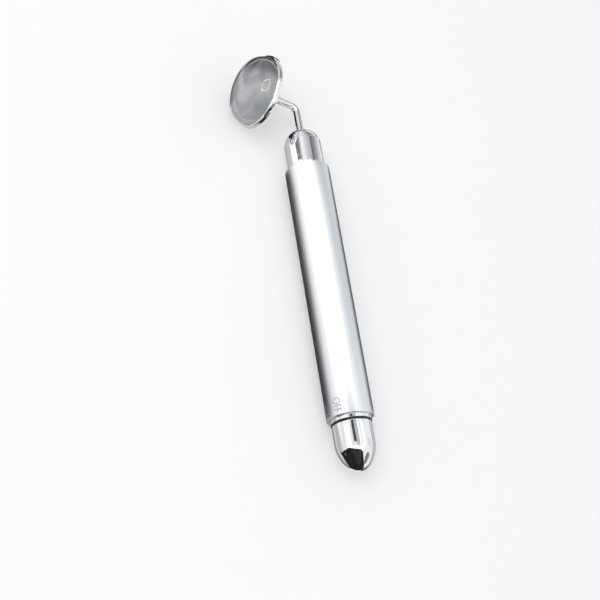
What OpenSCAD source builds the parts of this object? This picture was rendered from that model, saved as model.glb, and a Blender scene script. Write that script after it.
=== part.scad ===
// Vibrating facial massager with a domed stone head on a bent wire neck.
// Every piece is drawn upright, with the handle along Z and the lower end of the
// tube at Z = 0. The last lines lay the whole thing down on its side.

/* [Handle tube] */
// Outer diameter of the tube
tube_od = 18; // [16:0.5:24]
// Wall of the tube
tube_wall = 1.1; // [0.9:0.1:1.4]
// Length of the tube
tube_len = 105.6; // [95:0.2:140]
// Rounding of the tube's two outer edges
tube_edge = 0.3; // [0.2:0.1:0.9]

/* [Battery] */
// Wall of the liner between the tube and the AA cell
liner_wall = 0.5; // [0.35:0.05:0.7]
// Length of the cell, with its raised end
cell_len = 50.5; // [44:0.5:57]
// Diameter of the raised end
nub_d = 5.4; // [4.5:0.1:5.5]
// Height of the raised end
nub_h = 1.2; // [1:0.1:1.5]
// Chamfer at the shoulder below the raised end
cell_shoulder = 0.5; // [0.3:0.1:0.8]
// Thickness of the cell's printed jacket
jacket_t = 0.15; // [0.1:0.05:0.25]
// Bare metal left at the cell's flat end
jacket_inset = 0.3; // [0.2:0.1:0.8]
// Thickness of the paper washer round the raised end
paper_t = 0.3; // [0.2:0.1:0.4]
// Radial space round the cell
cell_gap = 0.25; // [0.15:0.05:0.3]

/* [Collar] */
// Step from the tube's side in to the collar where it shows
collar_step = 1.25; // [1.1:0.05:1.4]
// Height of the collar that shows below the tube
collar_lip = 1.35; // [1:0.05:3]
// Depth of the collar inside the tube
collar_depth = 8; // [6.5:0.5:12]
// Angle of the relief pocket where the switch is off
pocket_angle = 44; // [30:1:60]
// Height of the pocket's floor above the tube's lower end
pocket_low = 0.8; // [0.6:0.1:1]

/* [Seal ring] */
// Step from the tube's side in to the rubber ring
ring_step = 1.15; // [1.1:0.05:1.2]
// Thickness of the rubber ring's round section
ring_d = 0.6; // [0.5:0.02:0.64]

/* [Twist cap] */
// Step from the tube's side in to the cap
cap_step = 1.45; // [1.3:0.05:1.6]
// Length of the cap's straight part
cap_straight = 7; // [6.4:0.1:12]
// Length of the cap's bullet nose
cap_nose = 10.9; // [9:0.1:13]
// Radius of the nose's long flank
cap_flank_r = 13.8; // [13.4:0.1:16]
// Wall of the cap
cap_wall = 1; // [0.8:0.1:1.2]
// Length of the plug that goes into the collar
plug_in = 4.6; // [4:0.1:5.5]
// Length of the plug that is held in the cap
plug_held = 6; // [5:0.5:6]
// Wall of the plug inside the cap, round the spring's bore
plug_side = 1.1; // [0.9:0.1:1.4]
// Floor of the plug under the spring
plug_floor = 1; // [0.8:0.1:1.4]
// Rounding of the cap's mouth
mouth_edge = 0.3; // [0.2:0.05:0.5]
// Thickness of the nose at its tip
tip_wall = 1.5; // [1.2:0.1:2]

/* [Battery spring and contacts] */
// Thickness of the spring's wire
spring_wire = 0.7; // [0.5:0.1:0.8]
// Radial space between the spring and the contact strip
spring_room = 0.35; // [0.2:0.05:0.8]
// Number of turns of the spring
spring_turns = 5; // [4:1:6]
// Thickness of the brass contact strip and plates
strip_t = 0.3; // [0.2:0.05:0.4]
// Width of the contact strip
strip_w = 2.4; // [1.6:0.1:2.6]
// Free space between the strip and the cell
strip_gap = 0.4; // [0.3:0.1:1]
// Depth of the strip's outer leg below the plug's side
strip_sink = 0.12; // [0.1:0.02:0.2]
// Height of the outer leg's foot above the tube's lower end
strip_low = 1.1; // [1.1:0.1:1.6]
// Radial space round the spring's seat, and from its edge to the strip
spring_seat_gap = 0.2; // [0.1:0.05:0.3]
// Diameter of the front contact plate
front_plate_d = 9; // [7:0.5:12]
// Diameter of the button that meets the cell
front_button_d = 4.4; // [3:0.1:5]
// Height of the button
front_button_h = 1.4; // [1:0.1:2]
// Thickness of the contact board
board_t = 1.6; // [1:0.1:2.4]

/* [Motor] */
// Wall of the rubber sleeve that holds the motor in the tube
holder_wall = 1.8; // [1.4:0.1:2.2]
// Distance from each end of the can to the sleeve
holder_inset = 0.9; // [0:0.1:3]
// Length of the motor's can
motor_len = 18.8; // [18:0.2:22]
// Sheet of the can
can_wall = 0.6; // [0.5:0.1:0.8]
// Front face of the can
can_face = 0.8; // [0.6:0.1:1]
// Thickness of the plastic end bell
bell_t = 1.4; // [1.2:0.1:2]
// Diameter of the motor's shaft
shaft_d = 1.5; // [1.4:0.1:1.6]
// Length of the shaft in front of the can
shaft_out = 9.2; // [8.6:0.1:9.6]
// Length of the shaft behind the end bell
shaft_back = 0.3; // [0.2:0.1:0.6]
// Diameter of the two bearing bushes
bush_d = 3.2; // [2.8:0.1:3.6]
// Length of each bearing bush
bush_len = 1.8; // [1.4:0.1:2]
// Thickness of the two magnets
magnet_t = 0.75; // [0.5:0.05:0.9]
// Length of the two magnets
magnet_len = 11; // [8:0.5:12]
// Distance from the can's back to the magnets
magnet_back = 4.6; // [4.4:0.1:5]
// Angle that each magnet covers
magnet_angle = 130; // [90:5:150]
// Air gap between the magnets and the armature
air_gap = 0.25; // [0.2:0.05:0.4]
// Length of the armature's iron core
core_len = 8; // [6:0.5:9]
// Thickness of one winding at each end of the core
winding_t = 1.3; // [0.8:0.1:1.6]
// Thickness of one winding beside its pole
coil_t = 0.4; // [0.3:0.05:0.6]
// Width of each pole's neck
pole_neck = 1.4; // [1.2:0.1:1.6]
// Wall of the core's hub round the shaft
root_wall = 0.5; // [0.4:0.05:0.7]
// Thickness of the poles' shoes
shoe_t = 0.6; // [0.5:0.1:0.9]
// Diameter of the commutator
commutator_d = 4; // [3.4:0.1:4.4]
// Length of the commutator
commutator_len = 2; // [1.6:0.1:2.2]
// Space between the commutator and the windings
commutator_gap = 0.3; // [0.2:0.1:0.4]
// Width of the two brushes
brush_w = 1.6; // [1.2:0.1:2]
// Distance from the commutator's ends to the brushes
brush_inset = 0.4; // [0.2:0.1:0.6]
// Distance from the axis to the middle of each terminal
terminal_x = 3.6; // [3.4:0.1:3.8]
// Thickness of the terminals and of the brushes' arms
terminal_t = 0.4; // [0.3:0.1:0.5]
// Width of the terminals
terminal_w = 2; // [1.6:0.2:2.4]
// Length of the terminals behind the end bell
terminal_out = 4; // [3.6:0.2:5]
// Radial space round the off-centre weight, inside the head plug's bore
weight_room = 0.45; // [0.3:0.05:1]
// Length of the off-centre weight
weight_len = 6.6; // [5:0.2:7]
// Radius of the weight's hub
weight_hub_r = 2; // [1.5:0.1:2.4]
// Space between the motor's boss and the weight
weight_gap = 0.5; // [0.3:0.1:0.6]

/* [Motor leads] */
// Length of the leads between the board and the terminals
lead_run = 2.6; // [2:0.1:5]
// Diameter of the two insulated leads
lead_d = 1; // [0.8:0.05:1.1]
// Distance from the axis to each lead's hole in the board
lead_hole_x = 5; // [4.6:0.1:5.4]
// Sideways bow of the leads
lead_bow = 0.6; // [0.2:0.1:1]
// Length of lead that is soldered to its terminal
solder_len = 1; // [0.6:0.1:1.4]

/* [Head cap] */
// Step from the tube's side in to the skirt
skirt_inset = 1.5; // [1.2:0.05:1.8]
// Height of the skirt
skirt_h = 12.6; // [11:0.2:16]
// Step from the skirt in to the dome
skirt_step = 0.45; // [0.3:0.05:1]
// Height of the dome
dome_h = 5.4; // [5.2:0.1:7]
// Radius of the dome's shoulder
dome_shoulder_r = 4.9; // [4:0.1:5]
// Wall of the skirt
skirt_wall = 0.8; // [0.7:0.1:1]
// Length of the head plug inside the tube
plug_tube = 7.5; // [6:0.5:9]
// Length of the head plug inside the cap
plug_cap = 9; // [7:0.5:9]
// Wall of the head plug
plug_wall = 1.5; // [1.2:0.1:2]
// Rounding of the skirt's upper edge
skirt_edge = 0.4; // [0.2:0.05:0.45]
// Thickness of the shelf inside the skirt's upper end
shelf_t = 1; // [0.8:0.1:1.4]
// Height of the cap's inner roof above the skirt
roof_rise = 1.6; // [1.2:0.1:1.8]

/* [Neck] */
// Diameter of the neck's wire
neck_d = 2.8; // [2.6:0.1:3.2]
// Height of the bend's corner above the tube
neck_rise = 30.2; // [28:0.2:40]
// Angle of the bend
neck_bend = 82; // [60:1:90]
// Radius of the bend along the middle of the wire
bend_r = 3; // [2.5:0.1:5]
// Distance from the bend's corner to the setting's rim
neck_reach = 20.4; // [19:0.2:30]
// Diameter of the nut's flats under the dome
nut_af = 5.5; // [5:0.1:6]
// Height of the nut
nut_h = 2.4; // [2:0.1:2.6]
// Diameter of the washer
washer_d = 8; // [6.6:0.2:9]
// Thickness of the washer
washer_t = 0.8; // [0.5:0.1:1]
// Radial room round the washer
washer_room = 0.4; // [0.3:0.05:0.6]
// Length of wire that passes the nut
neck_tail = 0.6; // [0.4:0.1:1]

/* [Stone and setting] */
// Diameter of the stone
stone_d = 28.4; // [26:0.2:32]
// Height of the stone's dome above the rim
stone_h = 7.9; // [7.5:0.1:9.5]
// Radius of the stone's rounded side
stone_side_r = 5.4; // [4.8:0.1:6]
// Depth of the stone's foot inside the setting
stone_foot = 1.4; // [1:0.1:2]
// Wall of the setting's rim
rim_wall = 1.1; // [0.8:0.1:1.4]
// Floor of the setting
setting_floor = 1.15; // [0.6:0.05:1.3]
// Diameter of the boss on the setting's back
boss_d = 4.8; // [4.4:0.1:6]
// Height of the boss
boss_h = 1.3; // [1:0.1:2]
// Depth of the neck's socket in the boss
neck_socket = 1.4; // [1:0.1:1.6]
// Distance from the stone's widest line back to the setting's front
lip_back = 0.5; // [0.3:0.1:0.7]
// Rounding of the setting's front, where it is pressed in against the stone
lip_round = 0.7; // [0.4:0.05:0.75]
// Chamfer of the setting's back edge
setting_edge = 0.25; // [0.1:0.05:0.4]

/* [Fits] */
// Radial gap of a pressed or glued seat
seat_gap = 0.05; // [0.03:0.01:0.08]
// Radial gap of a turning or sliding fit
run_gap = 0.08; // [0.05:0.01:0.1]
// Gap between flat faces that move apart
face_gap = 0.05; // [0.03:0.01:0.1]

/* [Hidden] */
$fn = 96;
eps = 0.01;
over = 1;

tube_r = tube_od / 2;
bore_r = tube_r - tube_wall;
seat_r = bore_r - seat_gap;
pass_r = seat_r - liner_wall;
cell_r = pass_r - cell_gap;

ring_room = ring_d + 2 * face_gap;
cap_mouth = -collar_lip - ring_room;
cap_r = tube_r - cap_step;
collar_r = tube_r - collar_step;
ring_mid_r = tube_r - ring_step - ring_d / 2;
groove_r = ring_mid_r - ring_d / 2 - seat_gap;
cap_bore_r = cap_r - cap_wall;
plug_r = pass_r - run_gap;
plug_bore_r = cap_bore_r - seat_gap - plug_side;
plug_low = cap_mouth - plug_held;
spring_seat_z = plug_low + plug_floor;

cell_z = plug_in + strip_t + strip_gap;
nub_top = cell_z + cell_len;
front_plate_z = nub_top + face_gap + front_button_h;
board_z = front_plate_z + strip_t;
board_top = board_z + board_t;
spring_seat_r = plug_bore_r - spring_seat_gap;
strip_in_x = spring_seat_r - spring_seat_gap - strip_t;
spring_r = strip_in_x - spring_room;
strip_out_x = plug_r - strip_sink;

terminal_low = board_top + lead_run;
bell_back = terminal_low + terminal_out;
can_back = bell_back + bell_t;
can_front = can_back + motor_len;
can_r = seat_r - holder_wall - seat_gap;
shaft_r = shaft_d / 2;
shaft_tip = can_front + shaft_out;
shaft_end = bell_back - shaft_back;
magnet_r = can_r - can_wall - seat_gap;
armature_r = magnet_r - magnet_t - air_gap;
pole_root = shaft_r + root_wall;
magnet_z = can_back + magnet_back;
core_z = magnet_z + (magnet_len - core_len) / 2;
commutator_z = core_z - winding_t - commutator_gap - commutator_len;
boss_face = can_front + bush_len - can_face;
weight_z = boss_face + weight_gap;
terminal_top = can_back + 1;
lead_end_x = terminal_x + terminal_t / 2 + lead_d / 2 + seat_gap / 2;

skirt_r = tube_r - skirt_inset;
skirt_top = tube_len + skirt_h;
dome_r = skirt_r - skirt_step;
cap_roof = skirt_top + roof_rise;
plug_bottom = tube_len - plug_tube;
head_bore_r = skirt_r - skirt_wall;
plug_out_r = head_bore_r - seat_gap;
plug_in_r = plug_out_r - plug_wall;
weight_r = plug_in_r - weight_room;
neck_r = neck_d / 2;
neck_z = tube_len + neck_rise;
neck_low = cap_roof - washer_t - nut_h - neck_tail;
bend_tangent = bend_r * tan(neck_bend / 2);

stone_r = stone_d / 2;
setting_r = stone_r + seat_gap + rim_wall;
setting_h = stone_foot + setting_floor + seat_gap;
neck_end = neck_reach - setting_h - boss_h + neck_socket;

// The roll at which the tube and the setting's back edge both touch the floor.
reach_side = (neck_reach - setting_h) * sin(neck_bend);
lean = sin(neck_bend);
roll_a = pow(reach_side, 2) + pow(setting_r * lean, 2);
roll_b = reach_side * tube_r;
roll_c = pow(tube_r, 2) - pow(setting_r, 2);
rest_roll = asin((-roll_b + sqrt(pow(roll_b, 2) - roll_a * roll_c)) / roll_a);

// Shared shapes

// Radius of the crown that joins a side of radius side to the axis at height b.
function crown_r(a, b, side) = (pow(a - side, 2) + b * b - side * side) / (2 * (b - side));

// Height at which the side and the crown meet.
function crown_join(a, b, side) =
  let (crown = crown_r(a, b, side), dx = side - a, dz = b - crown, away = norm([dx, dz]))
  side > crown ? side * dz / away : b - crown - crown * dz / away;

// Half of an oval end: a wide, b high, upright at its foot and round at its crown.
module oval_half(a, b, side) {
  crown = crown_r(a, b, side);
  join = crown_join(a, b, side);
  middle = a - side;
  square([max(middle, eps), join]);
  intersection() {
    translate([middle, 0]) circle(side);
    square([a + over, join]);
  }
  intersection() {
    translate([0, b - crown]) circle(crown);
    translate([0, join]) square([a + over, b]);
  }
}

// A disc of radius r whose upper edge is rounded over its whole height
module round_edge(r, edge) {
  rotate_extrude() {
    square([r - edge, edge]);
    intersection() {
      translate([r - edge, 0]) circle(edge);
      square([r, edge]);
    }
  }
}

module ring_tube(outer, inner, height) {
  difference() {
    cylinder(r = outer, h = height);
    translate([0, 0, -over]) cylinder(r = inner, h = height + 2 * over);
  }
}

// A part of a ring, centred on the angle given
module ring_part(outer, inner, height, angle, at = 0) {
  rotate([0, 0, at - angle / 2])
    rotate_extrude(angle = angle)
      translate([inner, 0]) square([outer - inner, height]);
}

// A row of quad faces between two rings of n points
function skin(rings, n) = [
  for (i = [0 : rings - 2], j = [0 : n - 1])
    [i * n + j, i * n + (j + 1) % n, (i + 1) * n + (j + 1) % n, (i + 1) * n + j]
];

// The middle of the setting's rim, looking out of the stone
module at_rim() {
  translate([0, 0, neck_z]) rotate([0, -neck_bend, 0]) translate([0, 0, neck_reach]) children();
}

// Head

module stone_dome() {
  color([0.78, 0.79, 0.8]) at_rim() rotate_extrude() {
    oval_half(stone_r, stone_h, stone_side_r);
    translate([0, -stone_foot]) square([stone_r, stone_foot + eps]);
  }
}

module stone_setting() {
  color([0.86, 0.87, 0.88]) at_rim() difference() {
    union() {
      translate([0, 0, -setting_h])
        cylinder(r1 = setting_r - setting_edge, r2 = setting_r, h = setting_edge);
      translate([0, 0, setting_edge - setting_h])
        cylinder(r = setting_r, h = setting_h - setting_edge - lip_back - lip_round);
      translate([0, 0, -lip_back - lip_round]) round_edge(setting_r, lip_round);
      translate([0, 0, -setting_h - boss_h]) cylinder(d = boss_d, h = boss_h + setting_edge);
    }
    translate([0, 0, -stone_foot - seat_gap])
      cylinder(r = stone_r + seat_gap, h = stone_foot + over);
    translate([0, 0, -setting_h - boss_h - over])
      cylinder(r = neck_r + seat_gap, h = neck_socket + over + seat_gap);
  }
}

// Two straight stretches and a bend that is a hair thinner, so that they join cleanly
module neck_wire() {
  lap = 0.1;
  bend_wire_r = neck_r - 0.02;
  color([0.86, 0.87, 0.88]) {
    translate([0, 0, neck_low]) cylinder(r = neck_r, h = neck_z - bend_tangent - neck_low + lap);
    translate([-bend_r, 0, neck_z - bend_tangent]) rotate([90, 0, 0])
      rotate_extrude(angle = neck_bend) translate([bend_r, 0]) circle(bend_wire_r);
    translate([0, 0, neck_z]) rotate([0, -neck_bend, 0]) translate([0, 0, bend_tangent - lap])
      cylinder(r = neck_r, h = neck_end - bend_tangent + lap);
  }
}

module neck_washer() {
  color([0.7, 0.7, 0.72]) translate([0, 0, cap_roof - washer_t])
    ring_tube(washer_d / 2, neck_r + seat_gap, washer_t);
}

module neck_nut() {
  color([0.7, 0.7, 0.72]) translate([0, 0, cap_roof - washer_t - nut_h]) difference() {
    cylinder(d = nut_af / cos(30), h = nut_h, $fn = 6);
    translate([0, 0, -over]) cylinder(r = neck_r + seat_gap, h = nut_h + 2 * over);
  }
}

module head_cap() {
  color([0.86, 0.87, 0.88]) difference() {
    union() {
      translate([0, 0, tube_len]) cylinder(r = skirt_r, h = skirt_h - skirt_edge);
      translate([0, 0, skirt_top - skirt_edge]) round_edge(skirt_r, skirt_edge);
      translate([0, 0, skirt_top - eps]) rotate_extrude() oval_half(dome_r, dome_h, dome_shoulder_r);
    }
    translate([0, 0, tube_len - over]) cylinder(r = head_bore_r, h = skirt_h - shelf_t + over);
    translate([0, 0, tube_len]) cylinder(r = washer_d / 2 + washer_room, h = cap_roof - tube_len);
    translate([0, 0, tube_len]) cylinder(r = neck_r + seat_gap, h = skirt_h + dome_h + over);
  }
}

module head_plug() {
  color([0.15, 0.15, 0.16]) difference() {
    union() {
      translate([0, 0, plug_bottom]) cylinder(r = bore_r - run_gap, h = plug_tube);
      translate([0, 0, tube_len - eps]) cylinder(r = plug_out_r, h = plug_cap);
    }
    translate([0, 0, plug_bottom - over])
      cylinder(r = plug_in_r, h = plug_tube + plug_cap + 2 * over);
  }
}

// Handle

module handle_tube() {
  color([0.8, 0.82, 0.84]) rotate_extrude() difference() {
    union() {
      translate([bore_r, 0]) square([tube_wall - tube_edge, tube_len]);
      translate([bore_r, tube_edge]) square([tube_wall, tube_len - 2 * tube_edge]);
      for (z = [tube_edge, tube_len - tube_edge])
        translate([tube_r - tube_edge, z]) circle(tube_edge);
    }
    translate([0, -over]) square([bore_r, tube_len + 2 * over]);
  }
}

module thread_collar() {
  color([0.86, 0.87, 0.88]) difference() {
    union() {
      cylinder(r = seat_r, h = collar_depth);
      translate([0, 0, -collar_lip]) cylinder(r = collar_r, h = collar_lip + eps);
    }
    translate([0, 0, -collar_lip - over])
      cylinder(r = pass_r, h = collar_depth + collar_lip + 2 * over);
    translate([0, 0, pocket_low])
      ring_part((pass_r + seat_r) / 2, pass_r - over, plug_in, pocket_angle);
  }
}

module battery_liner() {
  color([0.9, 0.9, 0.88]) translate([0, 0, collar_depth])
    ring_tube(seat_r, pass_r, board_z - collar_depth);
}

module front_contact() {
  color([0.83, 0.68, 0.4]) translate([0, 0, front_plate_z]) {
    cylinder(d = front_plate_d, h = strip_t);
    translate([0, 0, -front_button_h]) cylinder(d = front_button_d, h = front_button_h + eps);
  }
}

module contact_board() {
  color([0.2, 0.42, 0.3]) translate([0, 0, board_z]) difference() {
    cylinder(r = seat_r, h = board_t);
    for (side = [-1, 1])
      translate([side * lead_hole_x, 0, -over]) cylinder(d = lead_d + 4 * seat_gap, h = board_t + 2 * over);
  }
}

// An insulated lead: out of the board, across in an S, and up beside the terminal
module lead(side) {
  low = board_z + 4 * seat_gap;
  high = terminal_low + solder_len;
  sides = 8;
  steps = 20;
  function share(z) = max(0, min(1, (z - board_top) / lead_run));
  function way(z) = [
    side * (lead_hole_x + (lead_end_x - lead_hole_x) * (1 - cos(180 * share(z))) / 2),
    lead_bow * (1 - cos(360 * share(z))) / 2,
    z
  ];
  points = [
    for (i = [0 : steps], j = [0 : sides - 1])
      way(low + (high - low) * i / steps) + lead_d / 2 * [cos(360 * j / sides), sin(360 * j / sides), 0]
  ];
  ends = [
    [for (j = [0 : sides - 1]) sides - 1 - j],
    [for (j = [0 : sides - 1]) steps * sides + j]
  ];
  polyhedron(points, concat(skin(steps + 1, sides), ends));
}

module lead_positive() {
  color([0.7, 0.1, 0.1]) lead(1);
}

module lead_negative() {
  color([0.1, 0.1, 0.1]) lead(-1);
}

// Motor

module motor_holder() {
  color([0.25, 0.25, 0.27]) translate([0, 0, can_back + holder_inset])
    ring_tube(seat_r, can_r + seat_gap, motor_len - 2 * holder_inset);
}

module motor_can() {
  color([0.75, 0.76, 0.78]) translate([0, 0, can_back]) difference() {
    union() {
      cylinder(r = can_r, h = motor_len);
      translate([0, 0, motor_len - eps])
        cylinder(r = bush_d / 2 + can_wall, h = bush_len - can_face + eps);
    }
    translate([0, 0, -over]) cylinder(r = can_r - can_wall, h = motor_len - can_face + over);
    cylinder(r = bush_d / 2 + seat_gap, h = motor_len + bush_len + over);
  }
}

module motor_end_bell() {
  rebate = 1;
  slot_w = terminal_w + 4 * seat_gap;
  slot_t = terminal_t + 4 * seat_gap;
  color([0.92, 0.9, 0.84]) difference() {
    union() {
      translate([0, 0, bell_back]) cylinder(r = can_r, h = bell_t);
      translate([0, 0, can_back - eps]) cylinder(r = can_r - can_wall - seat_gap, h = rebate);
    }
    translate([0, 0, bell_back - over]) cylinder(r = bush_d / 2 + seat_gap, h = bell_t + rebate + 2 * over);
    for (side = [-1, 1])
      translate([side * terminal_x - slot_t / 2, -slot_w / 2, bell_back - over])
        cube([slot_t, slot_w, bell_t + rebate + 2 * over]);
  }
}

module field_magnets() {
  color([0.2, 0.2, 0.22]) translate([0, 0, magnet_z])
    for (at = [90, 270]) ring_part(magnet_r, magnet_r - magnet_t, magnet_len, magnet_angle, at);
}

module bush(z) {
  color([0.72, 0.52, 0.28]) translate([0, 0, z]) ring_tube(bush_d / 2, shaft_r + run_gap / 2, bush_len);
}

module front_bush() {
  bush(can_front - can_face);
}

module rear_bush() {
  bush(bell_back);
}

// Two spring arms with their tips on the commutator
module brushes() {
  tip_x = commutator_d / 2 + face_gap;
  arm_x = terminal_x - terminal_t / 2;
  tip_z = commutator_z + brush_inset;
  tip_len = commutator_len - 2 * brush_inset;
  color([0.83, 0.6, 0.35]) for (side = [0, 180]) rotate([0, 0, side]) {
    translate([tip_x, -brush_w / 2, tip_z]) cube([arm_x - tip_x, brush_w, tip_len]);
    translate([arm_x, -brush_w / 2, terminal_top])
      cube([terminal_t, brush_w, tip_z + tip_len - terminal_top]);
  }
}

module motor_terminals() {
  color([0.83, 0.68, 0.4]) for (side = [-1, 1])
    translate([side * terminal_x - terminal_t / 2, -terminal_w / 2, terminal_low])
      cube([terminal_t, terminal_w, terminal_top - terminal_low]);
}

// Rotor

module motor_shaft() {
  color([0.8, 0.8, 0.82]) translate([0, 0, shaft_end]) cylinder(r = shaft_r, h = shaft_tip - shaft_end);
}

module armature_core() {
  color([0.45, 0.45, 0.47]) translate([0, 0, core_z]) linear_extrude(core_len) difference() {
    union() {
      circle(pole_root);
      for (at = [0, 120, 240]) rotate(at) {
        translate([0, -pole_neck / 2]) square([armature_r - shoe_t / 2, pole_neck]);
        intersection() {
          difference() {
            circle(armature_r);
            circle(armature_r - shoe_t);
          }
          polygon([[0, 0], [armature_r * 2, -armature_r * 2], [armature_r * 2, armature_r * 2]]);
        }
      }
    }
    circle(shaft_r + seat_gap);
  }
}

// One coil of copper wound round each of the three pole necks
module armature_windings() {
  inner = pole_root + 2 * seat_gap;
  hole_w = pole_neck + 2 * seat_gap;
  coil_w = hole_w + 2 * coil_t;
  outer = sqrt(pow(armature_r - shoe_t, 2) - pow(coil_w / 2, 2)) - 2 * seat_gap;
  reach = outer - inner;
  color([0.72, 0.38, 0.2]) for (at = [0, 120, 240]) rotate([0, 0, at]) difference() {
    translate([inner, -coil_w / 2, core_z - winding_t])
      cube([reach, coil_w, core_len + 2 * winding_t]);
    translate([inner - over, -hole_w / 2, core_z - seat_gap])
      cube([reach + 2 * over, hole_w, core_len + 2 * seat_gap]);
  }
}

module commutator() {
  color([0.8, 0.5, 0.3]) translate([0, 0, commutator_z])
    ring_tube(commutator_d / 2, shaft_r + seat_gap, commutator_len);
}

module eccentric_weight() {
  color([0.78, 0.66, 0.4]) translate([0, 0, weight_z]) difference() {
    union() {
      cylinder(r = weight_hub_r, h = weight_len);
      intersection() {
        cylinder(r = weight_r, h = weight_len);
        translate([-2 * weight_r, -weight_r - over, 0])
          cube([2 * weight_r, 2 * (weight_r + over), weight_len]);
      }
    }
    translate([0, 0, -over]) cylinder(r = shaft_r + seat_gap, h = weight_len + 2 * over);
  }
}

// Battery

module battery_cell() {
  body_len = cell_len - nub_h;
  body_r = cell_r - jacket_t - seat_gap;
  color([0.8, 0.8, 0.82]) translate([0, 0, cell_z]) {
    cylinder(r = body_r, h = body_len - cell_shoulder);
    translate([0, 0, body_len - cell_shoulder - eps])
      cylinder(r1 = body_r, r2 = body_r - cell_shoulder, h = cell_shoulder + eps);
    translate([0, 0, body_len - eps]) cylinder(d = nub_d, h = nub_h + eps);
  }
}

module battery_sleeve() {
  color([0.3, 0.42, 0.5]) translate([0, 0, cell_z + jacket_inset])
    ring_tube(cell_r, cell_r - jacket_t, cell_len - nub_h - cell_shoulder - jacket_inset);
}

module battery_washer() {
  color([0.9, 0.9, 0.88]) translate([0, 0, cell_z + cell_len - nub_h])
    ring_tube(cell_r - jacket_t - 2 * cell_shoulder, nub_d / 2 + seat_gap, paper_t);
}

// Twist cap

module seal_ring() {
  color([0.06, 0.06, 0.06]) translate([0, 0, -collar_lip - ring_room / 2])
    rotate_extrude() translate([ring_mid_r, 0]) circle(ring_d / 2);
}

module twist_cap() {
  nose_z = cap_mouth - cap_straight;
  color([0.86, 0.87, 0.88]) difference() {
    union() {
      translate([0, 0, nose_z]) cylinder(r = cap_r, h = cap_straight - mouth_edge);
      translate([0, 0, cap_mouth - mouth_edge]) round_edge(cap_r, mouth_edge);
      translate([0, 0, nose_z + eps]) mirror([0, 0, 1]) rotate_extrude()
        oval_half(cap_r, cap_nose, cap_flank_r);
    }
    translate([0, 0, nose_z]) cylinder(r = cap_bore_r, h = cap_straight + over);
    translate([0, 0, nose_z + eps]) mirror([0, 0, 1]) rotate_extrude()
      oval_half(cap_bore_r, cap_nose - tip_wall, cap_flank_r - cap_wall);
  }
}

module cap_plug() {
  color([0.12, 0.12, 0.13]) difference() {
    union() {
      translate([0, 0, plug_low]) cylinder(r = cap_bore_r - seat_gap, h = plug_held + eps);
      translate([0, 0, cap_mouth]) cylinder(r = groove_r, h = ring_room + eps);
      translate([0, 0, -collar_lip]) cylinder(r = plug_r, h = collar_lip + plug_in);
    }
    translate([0, 0, spring_seat_z]) cylinder(r = plug_bore_r, h = plug_in - spring_seat_z + over);
    translate([strip_out_x - strip_t - seat_gap, -strip_w / 2 - seat_gap, strip_low - 2 * seat_gap])
      cube([over, strip_w + 2 * seat_gap, plug_in]);
  }
}

module spring_seat() {
  color([0.83, 0.68, 0.4]) translate([0, 0, spring_seat_z])
    cylinder(r = spring_seat_r, h = strip_t);
}

module battery_spring() {
  sides = 8;
  steps = 16;
  wire_r = spring_wire / 2;
  mid_r = spring_r - wire_r;
  low = spring_seat_z + strip_t + wire_r + face_gap / 2;
  high = cell_z - face_gap - wire_r;
  flat = 0.75;
  turns = spring_turns + 2 * flat;
  count = round(steps * turns);
  function rise(t) = max(0, min(1, (t * turns - flat) / spring_turns));
  points = [
    for (i = [0 : count], j = [0 : sides - 1])
      let (t = i / count, a = 360 * turns * t, b = 360 * j / sides, r = mid_r + wire_r * cos(b))
      [r * cos(a), r * sin(a), low + (high - low) * rise(t) + wire_r * sin(b)]
  ];
  ends = [
    [for (j = [0 : sides - 1]) sides - 1 - j],
    [for (j = [0 : sides - 1]) count * sides + j]
  ];
  color([0.75, 0.76, 0.78]) polyhedron(points, concat(skin(count + 1, sides), ends));
}

// A strip from the spring's seat, up the bore, over the plug's end and down its side
module switch_strip() {
  low = spring_seat_z + strip_t;
  top = plug_in + strip_t;
  color([0.83, 0.68, 0.4]) translate([0, -strip_w / 2, 0]) {
    translate([strip_in_x, 0, low]) cube([strip_t, strip_w, top - low]);
    translate([strip_in_x, 0, plug_in]) cube([strip_out_x - strip_in_x, strip_w, strip_t]);
    translate([strip_out_x - strip_t, 0, strip_low]) cube([strip_t, strip_w, top - strip_low]);
  }
}

// The grip's middle goes to the origin, the handle along Y and the stone to the side
module laid_down() {
  rotate([0, rest_roll, 0]) rotate([-90, 0, 0]) translate([0, 0, -tube_len / 2]) children();
}

laid_down() {
  stone_dome();
  stone_setting();
  neck_wire();
  neck_washer();
  neck_nut();
  head_cap();
  head_plug();
  handle_tube();
  thread_collar();
  battery_liner();
  front_contact();
  contact_board();
  lead_positive();
  lead_negative();
  motor_holder();
  motor_can();
  motor_end_bell();
  field_magnets();
  front_bush();
  rear_bush();
  brushes();
  motor_terminals();
  motor_shaft();
  armature_core();
  armature_windings();
  commutator();
  eccentric_weight();
  battery_cell();
  battery_sleeve();
  battery_washer();
  seal_ring();
  twist_cap();
  cap_plug();
  spring_seat();
  battery_spring();
  switch_strip();
}
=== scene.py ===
# %% [markdown]
# # A vibrating facial massager
# The object is a slim battery wand: a satin tube with a twist cap at one end, and at the
# other a chromed dome with a bent wire neck that carries a polished stone in a metal cup.
# Almost every piece is turned, so the lesson is about outlines: each is drawn once with a
# pen of small operators and spun round its axis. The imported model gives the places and
# sizes, and this file gives the surfaces, the light and the camera.

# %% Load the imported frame
from math import asin, atan2, cos, degrees, hypot, pi, radians, sin, sqrt, tan

import bmesh
import bpy
from mathutils import Matrix, Vector


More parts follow.
